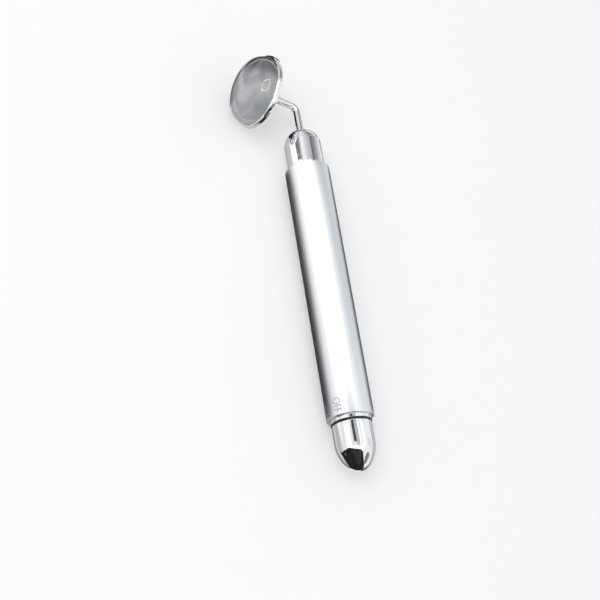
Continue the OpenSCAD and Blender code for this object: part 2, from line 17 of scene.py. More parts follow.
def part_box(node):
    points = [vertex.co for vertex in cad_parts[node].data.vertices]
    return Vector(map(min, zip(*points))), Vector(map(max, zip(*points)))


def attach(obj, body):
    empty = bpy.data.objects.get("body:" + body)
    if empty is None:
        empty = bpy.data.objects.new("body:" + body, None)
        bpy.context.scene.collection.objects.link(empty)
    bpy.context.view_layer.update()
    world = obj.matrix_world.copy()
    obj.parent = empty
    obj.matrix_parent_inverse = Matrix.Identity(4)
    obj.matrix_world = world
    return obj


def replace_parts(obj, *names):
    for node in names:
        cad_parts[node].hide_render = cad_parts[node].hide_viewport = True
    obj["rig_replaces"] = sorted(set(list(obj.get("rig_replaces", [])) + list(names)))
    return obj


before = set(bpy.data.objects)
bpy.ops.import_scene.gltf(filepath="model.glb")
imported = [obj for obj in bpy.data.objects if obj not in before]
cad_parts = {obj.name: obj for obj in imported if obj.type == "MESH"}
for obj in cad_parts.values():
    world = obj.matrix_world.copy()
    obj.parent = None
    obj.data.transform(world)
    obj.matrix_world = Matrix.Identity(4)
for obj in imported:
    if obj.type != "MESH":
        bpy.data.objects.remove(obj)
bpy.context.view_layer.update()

print("nodes:", len(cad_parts))

# %% [markdown]
# ## Sizes
# These are the sizes of the real thing in millimetres, along a handle that stands upright
# with the tube's lower end at height zero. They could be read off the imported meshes, but a
# mesh only knows its facets, while a named size says what it is for. Each new piece is
# measured against the node that it stands for, so a slip shows at once.

# %% Sizes of the pieces that show
MM = 0.001
SEAT_GAP = 0.05
RUN_GAP = 0.08
FACE_GAP = 0.05

TUBE_R = 9.0
TUBE_WALL = 1.1
TUBE_LEN = 105.6
TUBE_EDGE = 0.3
BORE_R = TUBE_R - TUBE_WALL
SEAT_R = BORE_R - SEAT_GAP
LINER_WALL = 0.5
PASS_R = SEAT_R - LINER_WALL

COLLAR_STEP = 1.25
COLLAR_R = TUBE_R - COLLAR_STEP
COLLAR_LIP = 1.35
COLLAR_DEPTH = 8.0
POCKET_LOW = 0.8
POCKET_TALL = 4.6
POCKET_ANGLE = 44.0

RING_D = 0.6
RING_STEP = 1.15
RING_ROOM = RING_D + 2 * FACE_GAP
RING_MID_R = TUBE_R - RING_STEP - RING_D / 2

CAP_STEP = 1.45
CAP_R = TUBE_R - CAP_STEP
CAP_WALL = 1.0
CAP_MOUTH = -COLLAR_LIP - RING_ROOM
CAP_STRAIGHT = 7.0
CAP_NOSE = 10.9
CAP_FLANK_R = 13.8
TIP_WALL = 1.5
NOSE_Z = CAP_MOUTH - CAP_STRAIGHT

SKIRT_INSET = 1.5
SKIRT_R = TUBE_R - SKIRT_INSET
SKIRT_H = 12.6
SKIRT_STEP = 0.45
SKIRT_WALL = 0.8
SKIRT_TOP = TUBE_LEN + SKIRT_H
DOME_R = SKIRT_R - SKIRT_STEP
DOME_H = 5.4
DOME_SHOULDER_R = 4.9
ROOF_RISE = 1.6
CAP_ROOF = SKIRT_TOP + ROOF_RISE
WASHER_ROOM_R = 4.4
WASHER_T = 0.8
NUT_H = 2.4

NECK_R = 1.4
NECK_RISE = 30.2
NECK_BEND = 82.0
BEND_R = 3.0
NECK_REACH = 20.4
NECK_TAIL = 0.6
NECK_LOW = CAP_ROOF - WASHER_T - NUT_H - NECK_TAIL
NECK_Z = TUBE_LEN + NECK_RISE

STONE_R = 14.2
STONE_H = 7.9
STONE_SIDE_R = 5.4
STONE_FOOT = 1.4
RIM_WALL = 1.1
SETTING_FLOOR = 1.15
LIP_BACK = 0.5
LIP_ROUND = 0.7
BOSS_R = 2.4
BOSS_H = 1.3
NECK_SOCKET = 1.4
SETTING_R = STONE_R + SEAT_GAP + RIM_WALL
SETTING_H = STONE_FOOT + SETTING_FLOOR + SEAT_GAP

# %% [markdown]
# ## Where the wand lies
# The wand rests on its tube and on the back edge of the stone's cup, so it is rolled about
# its own axis until both touch the floor. The roll could be found by trial. It is worked
# out here from the tube's radius and the cup's reach, so it holds for any size. One matrix
# then carries an upright piece to its place, and a second one starts from the cup's rim.

# %% From upright millimetres to the row frame
def resting_roll():
    """The angle at which the tube and the cup's back edge are equally low."""
    reach = (NECK_REACH - SETTING_H) * sin(radians(NECK_BEND))
    a = reach**2 + (SETTING_R * sin(radians(NECK_BEND))) ** 2
    b = reach * TUBE_R
    c = TUBE_R**2 - SETTING_R**2
    return asin((-b + sqrt(b * b - a * c)) / a)


ROLL = resting_roll()
LAID_DOWN = (
    Matrix.Rotation(ROLL, 4, "Y")
    @ Matrix.Rotation(-pi / 2, 4, "X")
    @ Matrix.Scale(MM, 4)
    @ Matrix.Translation((0, 0, -TUBE_LEN / 2))
)
AT_RIM = (
    LAID_DOWN
    @ Matrix.Translation((0, 0, NECK_Z))
    @ Matrix.Rotation(-radians(NECK_BEND), 4, "Y")
    @ Matrix.Translation((0, 0, NECK_REACH))
)
rim_centre = [round(x / MM, 1) for x in AT_RIM.translation]
print("roll:", round(degrees(ROLL), 2), "degrees; rim centre:", rim_centre)

# %% [markdown]
# ## A pen for turned pieces
# A lathe operator thinks of a turned part as half of its outline. Such an outline could be
# typed as a long list of points. Here a pen draws it instead: a line extrudes the newest
# point, an arc spins that point round a centre, and a bevel rounds the corners afterwards.
# One full spin turns the outline to a closed skin. Points on the axis fall together there,
# so they are merged before the faces are turned outward.

# %% The pen
ROUND_STEPS = 192
FINE_STEPS = 256
MERGE_DIST = 0.0005


def newest(bm):
    bm.verts.ensure_lookup_table()
    return bm.verts[-1]


def pen_at(r, z):
    """A new outline whose first point has radius r and height z."""
    bm = bmesh.new()
    bm.verts.new((r, 0, z))
    return bm


def line_to(bm, *points):
    for r, z in points:
        end = bmesh.ops.extrude_vert_indiv(bm, verts=[newest(bm)])["verts"][0]
        end.co = (r, 0, z)


def arc_to(bm, r, z, turn, steps):
    """Turns the newest point by turn degrees, anticlockwise, round a centre at r and z."""
    bmesh.ops.spin(
        bm, geom=[newest(bm)], cent=(r, 0, z), axis=(0, -1, 0), angle=radians(turn), steps=steps
    )


def close(bm):
    bm.verts.ensure_lookup_table()
    bm.edges.new((bm.verts[-1], bm.verts[0]))


def round_corner(bm, r, z, size, segments=4):
    """Rounds the outline's corner nearest to radius r and height z."""
    corner = min(bm.verts, key=lambda v: hypot(v.co.x - r, v.co.z - z))
    bmesh.ops.bevel(
        bm, geom=[corner], offset=size, offset_type="OFFSET", segments=segments,
        profile=0.5, affect="VERTICES", material=-1,
    )


def turn_on_lathe(bm, steps=ROUND_STEPS):
    """Spins the outline once round the axis and leaves a closed skin that faces outward."""
    bmesh.ops.spin(
        bm, geom=bm.verts[:] + bm.edges[:], cent=(0, 0, 0), axis=(0, 0, 1),
        angle=2 * pi, steps=steps, use_merge=True,
    )
    bmesh.ops.remove_doubles(bm, verts=bm.verts, dist=MERGE_DIST)
    bmesh.ops.recalc_face_normals(bm, faces=bm.faces)


def oval(a, b, side):
    """The crown's radius, and the tilt in degrees where a side of radius side meets it."""
    crown = ((a - side) ** 2 + b**2 - side**2) / (2 * (b - side))
    return crown, degrees(atan2(abs(b - crown), abs(side - a)))


# %% [markdown]
# ## Finishing a piece
# A finished mesh goes to its place by its vertices, and its object stays at the origin, as
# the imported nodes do, so that patterns in object coordinates stay put. Smooth shading needs
# hard edges marked where the real piece has them, which an angle does well on turned parts.
# Weighted normals then let a long wall keep its own direction beside a tiny rounded edge, or
# a straight mirror would look barrel shaped.

# %% Make an object from a bmesh, and measure it
SHARP_ANGLE = radians(32)
made = []


def to_object(name, bm):
    """Turns a bmesh into an object of the scene and frees it."""
    mesh = bpy.data.meshes.new(name)
    bm.to_mesh(mesh)
    bm.free()
    new = bpy.data.objects.new(name, mesh)
    bpy.context.scene.collection.objects.link(new)
    return new


def make_piece(name, bm, material, body, replaces=(), place=LAID_DOWN):
    """Places the mesh, gives it a material and a body, and says how far it is off its node."""
    bmesh.ops.transform(bm, matrix=place, verts=bm.verts)
    still_open = sum(edge.is_boundary for edge in bm.edges)
    piece = to_object(name, bm)
    mesh = piece.data
    mesh.polygons.foreach_set("use_smooth", [True] * len(mesh.polygons))
    mesh.set_sharp_from_angle(angle=SHARP_ANGLE)
    mesh.materials.append(material)
    weighted = piece.modifiers.new("weighted normals", "WEIGHTED_NORMAL")
    weighted.keep_sharp = True
    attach(piece, body)
    note = ""
    if replaces:
        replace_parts(piece, *replaces)
        note = "; off its node by " + str(round(off_by(piece, replaces[0]) / MM, 2)) + " mm"
    made.append(piece)
    print(f"{name}: {len(mesh.polygons)} faces, {still_open} open edges{note}")


def off_by(piece, node):
    """The largest difference between the corners of a piece's box and its node's."""
    low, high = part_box(node)
    points = [vertex.co for vertex in piece.data.vertices]
    worst = 0
    for axis in range(3):
        values = [point[axis] for point in points]
        worst = max(worst, abs(min(values) - low[axis]), abs(max(values) - high[axis]))
    return worst


# %% [markdown]
# ## Materials
# Every finish starts from one Principled shader. What is the same all over a surface is set
# on the shader's own sockets, and only what varies comes from nodes: colour, roughness and
# a fine bump. All patterns read object coordinates in metres, so a scale of 1000 makes
# cells of a millimetre. The helpers below keep each finish to a few lines.

# %% Helpers for node materials
def shade(colour, share):
    """The same colour, darker or lighter."""
    return tuple(share * part for part in colour)


class Finish:
    """A material with one Principled shader and short ways to add nodes to it."""

    def __init__(self, name, colour, metallic=0.0, roughness=0.5, **sockets):
        self.material = bpy.data.materials.new(name)
        self.material.use_nodes = True
        self.nodes = self.material.node_tree.nodes
        self.links = self.material.node_tree.links
        self.shader = self.nodes["Principled BSDF"]
        self.shader.inputs["Base Color"].default_value = (*colour, 1)
        self.shader.inputs["Metallic"].default_value = metallic
        self.shader.inputs["Roughness"].default_value = roughness
        for socket, value in sockets.items():
            self.shader.inputs[socket.replace("_", " ")].default_value = value
        self.place = self.node("ShaderNodeTexCoord").outputs["Object"]

    def node(self, kind, **settings):
        new = self.nodes.new(kind)
        for key, value in settings.items():
            setattr(new, key, value)
        return new

    def link(self, source, target):
        self.links.new(source, target)

    def mapped(self, scale=(1, 1, 1), location=(0, 0, 0), rotation=(0, 0, 0), at=None):
        """Object coordinates, stretched, turned and moved."""
        mapping = self.node("ShaderNodeMapping")
        mapping.inputs["Scale"].default_value = scale
        mapping.inputs["Location"].default_value = location
        mapping.inputs["Rotation"].default_value = rotation
        self.link(at or self.place, mapping.inputs["Vector"])
        return mapping.outputs["Vector"]

    def noise(self, scale, detail=3.0, rough=0.5, distortion=0.0, at=None):
        texture = self.node("ShaderNodeTexNoise")
        texture.inputs["Scale"].default_value = scale
        texture.inputs["Detail"].default_value = detail
        texture.inputs["Roughness"].default_value = rough
        texture.inputs["Distortion"].default_value = distortion
        self.link(at or self.place, texture.inputs["Vector"])
        return texture.outputs["Fac"]

    def bands(self, scale, axis, distortion=0.0):
        """Stripes across an axis, scale of them to a metre."""
        texture = self.node("ShaderNodeTexWave", bands_direction=axis)
        texture.inputs["Scale"].default_value = scale * pi / 10
        texture.inputs["Distortion"].default_value = distortion
        self.link(self.place, texture.inputs["Vector"])
        return texture.outputs["Fac"]

    def cells(self, scale):
        texture = self.node("ShaderNodeTexVoronoi")
        texture.inputs["Scale"].default_value = scale
        self.link(self.place, texture.inputs["Vector"])
        return texture.outputs["Distance"]

    def spread(self, value, low, high, new_low=0.0, new_high=1.0, smooth=False):
        """Maps low to high of a value on to a new range, and clamps it there."""
        ranged = self.node("ShaderNodeMapRange")
        if smooth:
            ranged.interpolation_type = "SMOOTHSTEP"
        self.link(value, ranged.inputs["Value"])
        sockets = ("From Min", "From Max", "To Min", "To Max")
        for socket, number in zip(sockets, (low, high, new_low, new_high)):
            ranged.inputs[socket].default_value = number
        return ranged.outputs["Result"]

    def sum(self, first, second, operation="ADD"):
        """Adds two values, or joins them by another operation. Either may be a number."""
        node = self.node("ShaderNodeMath", operation=operation)
        for socket, value in zip(node.inputs, (first, second)):
            if isinstance(value, (int, float)):
                socket.default_value = value
            else:
                self.link(value, socket)
        return node.outputs[0]

    def colours(self, factor, first, second):
        """A mix of two colours, either of which may be another node's output."""
        mix = self.node("ShaderNodeMix", data_type="RGBA")
        self.link(factor, mix.inputs["Factor"])
        for socket, value in ((mix.inputs[6], first), (mix.inputs[7], second)):
            if isinstance(value, tuple):
                socket.default_value = (*value, 1)
            else:
                self.link(value, socket)
        return mix.outputs[2]

    def split(self, at=None):
        """The X, Y and Z of a place."""
        parts = self.node("ShaderNodeSeparateXYZ")
        self.link(at or self.place, parts.inputs["Vector"])
        return parts.outputs

    def paint(self, colour):
        self.link(colour, self.shader.inputs["Base Color"])

    def mottle(self, texture, low, high, first, second):
        """Paints two colours, mixed as a texture goes from low to high."""
        self.paint(self.colours(self.spread(texture, low, high), first, second))

    def dull(self, texture, smooth, rough, low=0.3, high=0.7):
        """Roughness from smooth to rough, as a texture goes from low to high."""
        self.link(self.spread(texture, low, high, smooth, rough), self.shader.inputs["Roughness"])

    def emboss(self, height, depth):
        """Bumps the surface by a height from nodes; depth is in metres."""
        bump = self.node("ShaderNodeBump")
        bump.inputs["Distance"].default_value = depth
        self.link(height, bump.inputs["Height"])
        self.link(bump.outputs["Normal"], self.shader.inputs["Normal"])


# %% [markdown]
# ## Chrome
# The caps, the collar, the neck and the cup are plated and polished. A perfect mirror looks
# false, because plating follows the ripple that the polishing wheel left in the metal, and
# fingers leave a faint haze. So the chrome gets a long shallow ripple as a bump, which bends
# the edges of what it mirrors, and a roughness that wanders between clear and hazed.

# %% Chrome plating
def chrome_plating():
    tint = (0.9, 0.905, 0.915)
    finish = Finish("chrome_plating", tint, metallic=1.0, roughness=0.04)
    haze = finish.noise(260, detail=4, rough=0.6, distortion=0.4)
    finish.dull(haze, 0.03, 0.085, low=0.35, high=0.75)
    ripple = finish.noise(210, detail=2, rough=0.35)
    pits = finish.noise(2600, detail=2)
    finish.emboss(finish.sum(ripple, finish.sum(pits, 0.02, "MULTIPLY")), 0.00003)
    finish.mottle(finish.noise(90, detail=3), 0.45, 0.7, tint, shade(tint, 0.96))
    return finish.material


CHROME = chrome_plating()

# %% [markdown]
# ## Satin aluminium
# The tube is blasted with fine beads and then anodised, which gives an even, soft sheen with
# no grain that the eye can follow. That sheen comes from the roughness. A very fine noise
# breaks it up close to, and a faint lengthwise drift keeps a long plain tube from looking
# like a computer's cylinder.

# %% Satin aluminium
def satin_aluminium():
    tint = (0.87, 0.885, 0.905)
    finish = Finish("satin_aluminium", tint, metallic=1.0, roughness=0.27)
    grain = finish.noise(9000, detail=2, rough=0.7)
    drift = finish.noise(60, detail=3, at=finish.mapped(scale=(1, 0.2, 1)))
    wide = finish.spread(drift, 0.3, 0.7, 0.3, 0.34)
    rubbed = finish.sum(wide, finish.spread(grain, 0.3, 0.7, -0.02, 0.02))
    finish.link(rubbed, finish.shader.inputs["Roughness"])
    finish.mottle(grain, 0.35, 0.65, tint, shade(tint, 0.95))
    finish.emboss(grain, 0.000004)
    return finish.material


# %% [markdown]
# ## The handle's tube
# The tube is cut from drawn stock, and its edges are broken just enough not to cut a finger.
# It could be a cylinder with a solidify modifier, but the wall, the bore and all four edges
# lie in one outline, so it is turned in one go.

# %% Turn the tube
BORE_EDGE = 0.12
tube = pen_at(BORE_R, 0)
line_to(tube, (TUBE_R, 0), (TUBE_R, TUBE_LEN), (BORE_R, TUBE_LEN))
close(tube)
for end in (0, TUBE_LEN):
    round_corner(tube, TUBE_R, end, TUBE_EDGE, segments=8)
    round_corner(tube, BORE_R, end, BORE_EDGE, segments=2)
turn_on_lathe(tube, steps=FINE_STEPS)
make_piece("tube", tube, satin_aluminium(), "handle", ["handle_tube"])

# %% [markdown]
# ## The collar
# A plated collar is pressed into the tube's lower end, and only its lip shows. Inside it has
# a shallow pocket, where the switch's strip loses contact when the cap is turned to OFF. A
# boolean could cut that pocket. It is cleaner to spin the outline in two stretches, a plain
# one and one with the pocket drawn in, and to fill the two small walls between them.

# %% Turn the collar in two stretches
LIP_EDGE = 0.18


def collar_outline(with_pocket):
    outline = pen_at(PASS_R, -COLLAR_LIP)
    line_to(outline, (COLLAR_R, -COLLAR_LIP), (COLLAR_R, 0), (SEAT_R, 0), (SEAT_R, COLLAR_DEPTH))
    line_to(outline, (PASS_R, COLLAR_DEPTH), (PASS_R, POCKET_LOW + POCKET_TALL))
    if with_pocket:
        pocket_r = (PASS_R + SEAT_R) / 2
        line_to(outline, (pocket_r, POCKET_LOW + POCKET_TALL), (pocket_r, POCKET_LOW))
    line_to(outline, (PASS_R, POCKET_LOW))
    close(outline)
    round_corner(outline, COLLAR_R, -COLLAR_LIP, LIP_EDGE)
    return outline


def turn_part(bm, start, angle, steps):
    """Spins an outline through part of a turn, from start degrees, and leaves both ends open."""
    to_start = Matrix.Rotation(radians(start), 3, "Z")
    bmesh.ops.rotate(bm, verts=bm.verts, cent=(0, 0, 0), matrix=to_start)
    bmesh.ops.spin(
        bm, geom=bm.verts[:] + bm.edges[:], cent=(0, 0, 0), axis=(0, 0, 1),
        angle=radians(angle), steps=steps,
    )


def add_mesh(bm, other):
    """Adds a second bmesh to the first."""
    mesh = bpy.data.meshes.new("joining")
    other.to_mesh(mesh)
    other.free()
    bm.from_mesh(mesh)
    bpy.data.meshes.remove(mesh)


def seal(bm, dist=MERGE_DIST):
    """Merges doubled points, fills what is open and turns the faces outward."""
    bmesh.ops.remove_doubles(bm, verts=bm.verts, dist=dist)
    bmesh.ops.holes_fill(bm, edges=[edge for edge in bm.edges if edge.is_boundary])
    bmesh.ops.recalc_face_normals(bm, faces=bm.faces)


collar = collar_outline(with_pocket=False)
turn_part(collar, POCKET_ANGLE / 2, 360 - POCKET_ANGLE, steps=168)
pocketed = collar_outline(with_pocket=True)
turn_part(pocketed, -POCKET_ANGLE / 2, POCKET_ANGLE, steps=24)
add_mesh(collar, pocketed)
seal(collar, dist=0.001)
make_piece("collar", collar, CHROME, "handle", ["thread_collar"])

# %% [markdown]
# ## The rubber ring
# A black ring lies between the collar and the cap. It keeps water out, and its grip holds
# the switch where it is set. It is a circle spun round the handle's axis. Its rubber is
# smooth and a little dusty, so it is a very dark grey with an uneven sheen.

# %% Turn the ring
def black_rubber(name="seal_rubber", colour=(0.018, 0.018, 0.02)):
    finish = Finish(name, colour, roughness=0.42)
    dust = finish.noise(700, detail=5, rough=0.65)
    finish.mottle(dust, 0.5, 0.8, colour, shade(colour, 2.2))
    finish.dull(dust, 0.36, 0.55)
    finish.emboss(dust, 0.00001)
    return finish.material


def upright_circle(size, r, z, segments):
    """A circle of radius size, standing in the pen's plane round radius r and height z."""
    bm = bmesh.new()
    bmesh.ops.create_circle(bm, segments=segments, radius=size)
    bmesh.ops.rotate(bm, verts=bm.verts, cent=(0, 0, 0), matrix=Matrix.Rotation(pi / 2, 3, "X"))
    bmesh.ops.translate(bm, verts=bm.verts, vec=(r, 0, z))
    return bm


ring = upright_circle(RING_D / 2, RING_MID_R, -COLLAR_LIP - RING_ROOM / 2, segments=32)
turn_on_lathe(ring)
make_piece("ring", ring, black_rubber(), "seal", ["seal_ring"])

# %% [markdown]
# ## The twist cap
# The cap is a bullet: a straight wall, a long flank that leans in, and a blunt crown. Each
# is an arc, and they meet without a kink because their centres lie on one line with the
# join. The outline runs from the tip out to the mouth and back along the inside, so the cap
# is a real shell, as it shows when it is drawn off the handle.

# %% Turn the cap
MOUTH_EDGE = 0.3
crown, tilt = oval(CAP_R, CAP_NOSE, CAP_FLANK_R)
inner_r = CAP_R - CAP_WALL
inner_nose = CAP_NOSE - TIP_WALL
inner_crown, inner_tilt = oval(inner_r, inner_nose, CAP_FLANK_R - CAP_WALL)

cap = pen_at(0, NOSE_Z - CAP_NOSE)
arc_to(cap, 0, NOSE_Z - CAP_NOSE + crown, 90 - tilt, steps=28)
arc_to(cap, CAP_R - CAP_FLANK_R, NOSE_Z, tilt, steps=28)
line_to(cap, (CAP_R, CAP_MOUTH), (inner_r, CAP_MOUTH), (inner_r, NOSE_Z))
arc_to(cap, CAP_R - CAP_FLANK_R, NOSE_Z, -inner_tilt, steps=12)
arc_to(cap, 0, NOSE_Z - inner_nose + inner_crown, inner_tilt - 90, steps=12)
round_corner(cap, CAP_R, CAP_MOUTH, MOUTH_EDGE)
turn_on_lathe(cap, steps=FINE_STEPS)
make_piece("cap", cap, CHROME, "switch_cap", ["twist_cap"])
print("the cap's crown:", round(crown, 2), "mm; it meets the flank at", round(tilt, 1), "degrees")

# %% [markdown]
# ## The head cap
# A plated cup closes the tube's upper end. Its skirt stands a little proud of its dome, with
# a small rounded step between them. The wire neck comes out through the dome's top. Only the
# outside shows, but the roof that the nut pulls against is drawn too, so that the mesh is
# the real shell.

# %% Turn the head cap
SKIRT_EDGE = 0.4
FOOT_EDGE = 0.15
SHELF_T = 1.0
hole_r = NECK_R + SEAT_GAP
head_bore_r = SKIRT_R - SKIRT_WALL
crown, tilt = oval(DOME_R, DOME_H, DOME_SHOULDER_R)
crown_z = SKIRT_TOP + DOME_H - crown
hole_tilt = degrees(asin(hole_r / crown))

head = pen_at(hole_r, crown_z + crown * cos(radians(hole_tilt)))
arc_to(head, 0, crown_z, hole_tilt - 90 + tilt, steps=32)
arc_to(head, DOME_R - DOME_SHOULDER_R, SKIRT_TOP, -tilt, steps=16)
line_to(head, (SKIRT_R, SKIRT_TOP), (SKIRT_R, TUBE_LEN), (head_bore_r, TUBE_LEN))
line_to(head, (head_bore_r, SKIRT_TOP - SHELF_T), (WASHER_ROOM_R, SKIRT_TOP - SHELF_T))
line_to(head, (WASHER_ROOM_R, CAP_ROOF), (hole_r, CAP_ROOF))
close(head)
round_corner(head, SKIRT_R, SKIRT_TOP, SKIRT_EDGE, segments=6)
round_corner(head, SKIRT_R, TUBE_LEN, FOOT_EDGE)
turn_on_lathe(head, steps=FINE_STEPS)
make_piece("head_cap_shell", head, CHROME, "head", ["head_cap"])

# %% [markdown]
# ## The neck
# The neck is one bent wire. A curve with a round section would do it in two lines, but a
# curve gives no say over where the rings of points fall. So a ring of points is extruded
# straight up, spun round the bend's centre, and extruded again to the cup.

# %% Bend the neck
BEND_TANGENT = BEND_R * tan(radians(NECK_BEND) / 2)
NECK_END = NECK_REACH - SETTING_H - BOSS_H + NECK_SOCKET


def push(bm, geometry, vector):
    """Extrudes the edges among the geometry along a vector and gives back the new end."""
    edges = [part for part in geometry if isinstance(part, bmesh.types.BMEdge)]
    new = bmesh.ops.extrude_edge_only(bm, edges=edges)["geom"]
    verts = [part for part in new if isinstance(part, bmesh.types.BMVert)]
    bmesh.ops.translate(bm, verts=verts, vec=vector)
    return [part for part in new if not isinstance(part, bmesh.types.BMFace)]


neck = bmesh.new()
bmesh.ops.create_circle(neck, segments=48, radius=NECK_R)
bmesh.ops.translate(neck, verts=neck.verts, vec=(0, 0, NECK_LOW))
wire_end = push(neck, neck.verts[:] + neck.edges[:], (0, 0, NECK_Z - BEND_TANGENT - NECK_LOW))
wire_end = bmesh.ops.spin(
    neck, geom=wire_end, cent=(-BEND_R, 0, NECK_Z - BEND_TANGENT), axis=(0, -1, 0),
    angle=radians(NECK_BEND), steps=32,
)["geom_last"]
along = Vector((-sin(radians(NECK_BEND)), 0, cos(radians(NECK_BEND))))
push(neck, wire_end, along * (NECK_END - BEND_TANGENT))
seal(neck)
make_piece("neck", neck, CHROME, "head", ["neck_wire"])

# %% [markdown]
# ## The cup
# The stone sits in a shallow turned cup, and a small boss on its back takes the end of the
# neck. The cup's front is pressed in against the stone, so its outer edge is well rounded and
# only a narrow lip is left, which catches the light as a thin bright line round the stone.

# %% Turn the cup
BACK_EDGE = 0.25
BOSS_EDGE = 0.2
LIP_INNER_EDGE = 0.1
socket_z = NECK_SOCKET + SEAT_GAP - SETTING_H - BOSS_H
cup = pen_at(0, -STONE_FOOT - SEAT_GAP)
line_to(cup, (STONE_R + SEAT_GAP, -STONE_FOOT - SEAT_GAP), (STONE_R + SEAT_GAP, -LIP_BACK))
line_to(cup, (SETTING_R, -LIP_BACK))
line_to(cup, (SETTING_R, -SETTING_H), (BOSS_R, -SETTING_H), (BOSS_R, -SETTING_H - BOSS_H))
line_to(cup, (hole_r, -SETTING_H - BOSS_H), (hole_r, socket_z), (0, socket_z))
round_corner(cup, SETTING_R, -LIP_BACK, LIP_ROUND, segments=10)
round_corner(cup, SETTING_R, -SETTING_H, BACK_EDGE, segments=5)
round_corner(cup, STONE_R + SEAT_GAP, -LIP_BACK, LIP_INNER_EDGE, segments=3)
round_corner(cup, BOSS_R, -SETTING_H - BOSS_H, BOSS_EDGE)
turn_on_lathe(cup, steps=FINE_STEPS)
make_piece("cup", cup, CHROME, "head", ["stone_setting"], place=AT_RIM)

# %% [markdown]
# ## The stone's quartz
# The stone is a cabochon of milky quartz, clouded nearly everywhere and a little clearer
# along one side, behind a thin pale line. That line is a painted highlight, for the cup's back
# edge seen through the stone. A volume would be the true way, but it is slow and grainy. The
# surface alone can say it: where the stone is milky it scatters light just under its skin,
# and past the line that gives way to clearer glass. The line lies on a tilted plane through
# the stone. The clouds are two noises, one wide and soft and one drawn into wisps, with a pale
# haze near the middle. Towards one end the colour is painted much darker, as painted shade.

# %% Milky quartz
# CLEAR_EDGE is the tilted plane where the clear side ends; the painted highlight line lies on it.
CLEAR_EDGE = 5.8
CLEAR_EDGE_SLOPE = 0.667
PAINTED_GLINT_HALF = 0.45
CLEAR_EDGE_WAVER = 0.4
CLEAR_FADE = 1.5
CLEAR_SIDE = radians(50)
CLEAR_GROWS = (-9.0, 5.0)
HAZE = Vector((-5, -1.5, 7))
HAZE_REACH = (1.0, 7.0)
# Painted shade: the stone's colour is painted darker towards this side.
PAINTED_SHADE_SIDE = radians(-37)
PAINTED_SHADE_REACH = (4.0, 10.0)


def milky_quartz():
    finish = Finish(
        "milky_quartz", (0.5, 0.51, 0.52), roughness=0.05, IOR=1.54, Subsurface_Weight=0.2,
        Subsurface_Radius=(1.0, 1.0, 1.0), Subsurface_Scale=0.002,
    )
    to_rim = AT_RIM.to_quaternion().inverted()
    at_stone = finish.mapped(location=to_rim @ -AT_RIM.translation, rotation=to_rim.to_euler())
    clouds = finish.noise(90, detail=4, rough=0.5, distortion=0.6, at=at_stone)
    drawn = finish.mapped(scale=(1.0, 0.35, 0.6), rotation=(0, 0, radians(35)), at=at_stone)
    wisps = finish.noise(150, detail=4, rough=0.5, distortion=0.5, at=drawn)
    cloudy = finish.colours(finish.spread(clouds, 0.4, 0.6), (0.37, 0.385, 0.41), (0.5, 0.51, 0.52))
    milk = finish.colours(finish.spread(wisps, 0.45, 0.75, 0.0, 0.6), cloudy, (0.64, 0.64, 0.63))
    from_haze = finish.node("ShaderNodeVectorMath", operation="DISTANCE")
    from_haze.inputs[1].default_value = HAZE * MM
    finish.link(at_stone, from_haze.inputs[0])
    near, far = (part * MM for part in HAZE_REACH)
    haze = finish.spread(from_haze.outputs["Value"], near, far, 0.55, 0.0, smooth=True)
    milk = finish.colours(haze, milk, (0.68, 0.68, 0.69))

    x, y, z = finish.split(at_stone)

    def toward(side):
        along_x = finish.sum(x, cos(side), "MULTIPLY")
        return finish.sum(along_x, finish.sum(y, sin(side), "MULTIPLY"))

    raised = finish.sum(z, finish.sum(toward(CLEAR_SIDE), CLEAR_EDGE_SLOPE, "MULTIPLY"), "SUBTRACT")
    raised = finish.sum(raised, finish.spread(clouds, 0.3, 0.7, -CLEAR_EDGE_WAVER * MM, CLEAR_EDGE_WAVER * MM))
    clear = finish.spread(raised, (CLEAR_EDGE - CLEAR_FADE) * MM, CLEAR_EDGE * MM, 1.0, 0.0, smooth=True)
    start, end = (part * MM for part in CLEAR_GROWS)
    clear = finish.sum(clear, finish.spread(x, start, end, 0.1, 1.0), "MULTIPLY")
    body = finish.colours(clear, milk, (0.48, 0.48, 0.485))
    # Painted shade: towards one end the colour is painted much darker.
    start, end = (part * MM for part in PAINTED_SHADE_REACH)
    thin_ink_and_painted_shade = finish.spread(toward(PAINTED_SHADE_SIDE), start, end, 0.0, 0.88, smooth=True)
    body = finish.colours(thin_ink_and_painted_shade, body, (0.115, 0.12, 0.13))
    # Painted highlight: a thin pale line along the clear edge, for the cup's back edge seen through
    # the stone.
    from_clear_edge = finish.sum(finish.sum(raised, CLEAR_EDGE * MM, "SUBTRACT"), 0, "ABSOLUTE")
    painted_glint = finish.spread(from_clear_edge, 0.0, PAINTED_GLINT_HALF * MM, 0.6, 0.0)
    finish.paint(finish.colours(painted_glint, body, (0.85, 0.86, 0.87)))
    finish.link(finish.sum(clear, 0.3, "MULTIPLY"), finish.shader.inputs["Transmission Weight"])
    finish.dull(finish.noise(500, detail=3), 0.01, 0.03)
    return finish.material


MILKY_QUARTZ = milky_quartz()

# %% [markdown]
# ## The stone's shape
# A cabochon has a flat back, a low domed front, and a tighter round side between them. A
# squashed sphere would get that side wrong. Two arcs that meet without a kink get it right,
# as on the cap, and the foot of the outline sits down inside the cup.

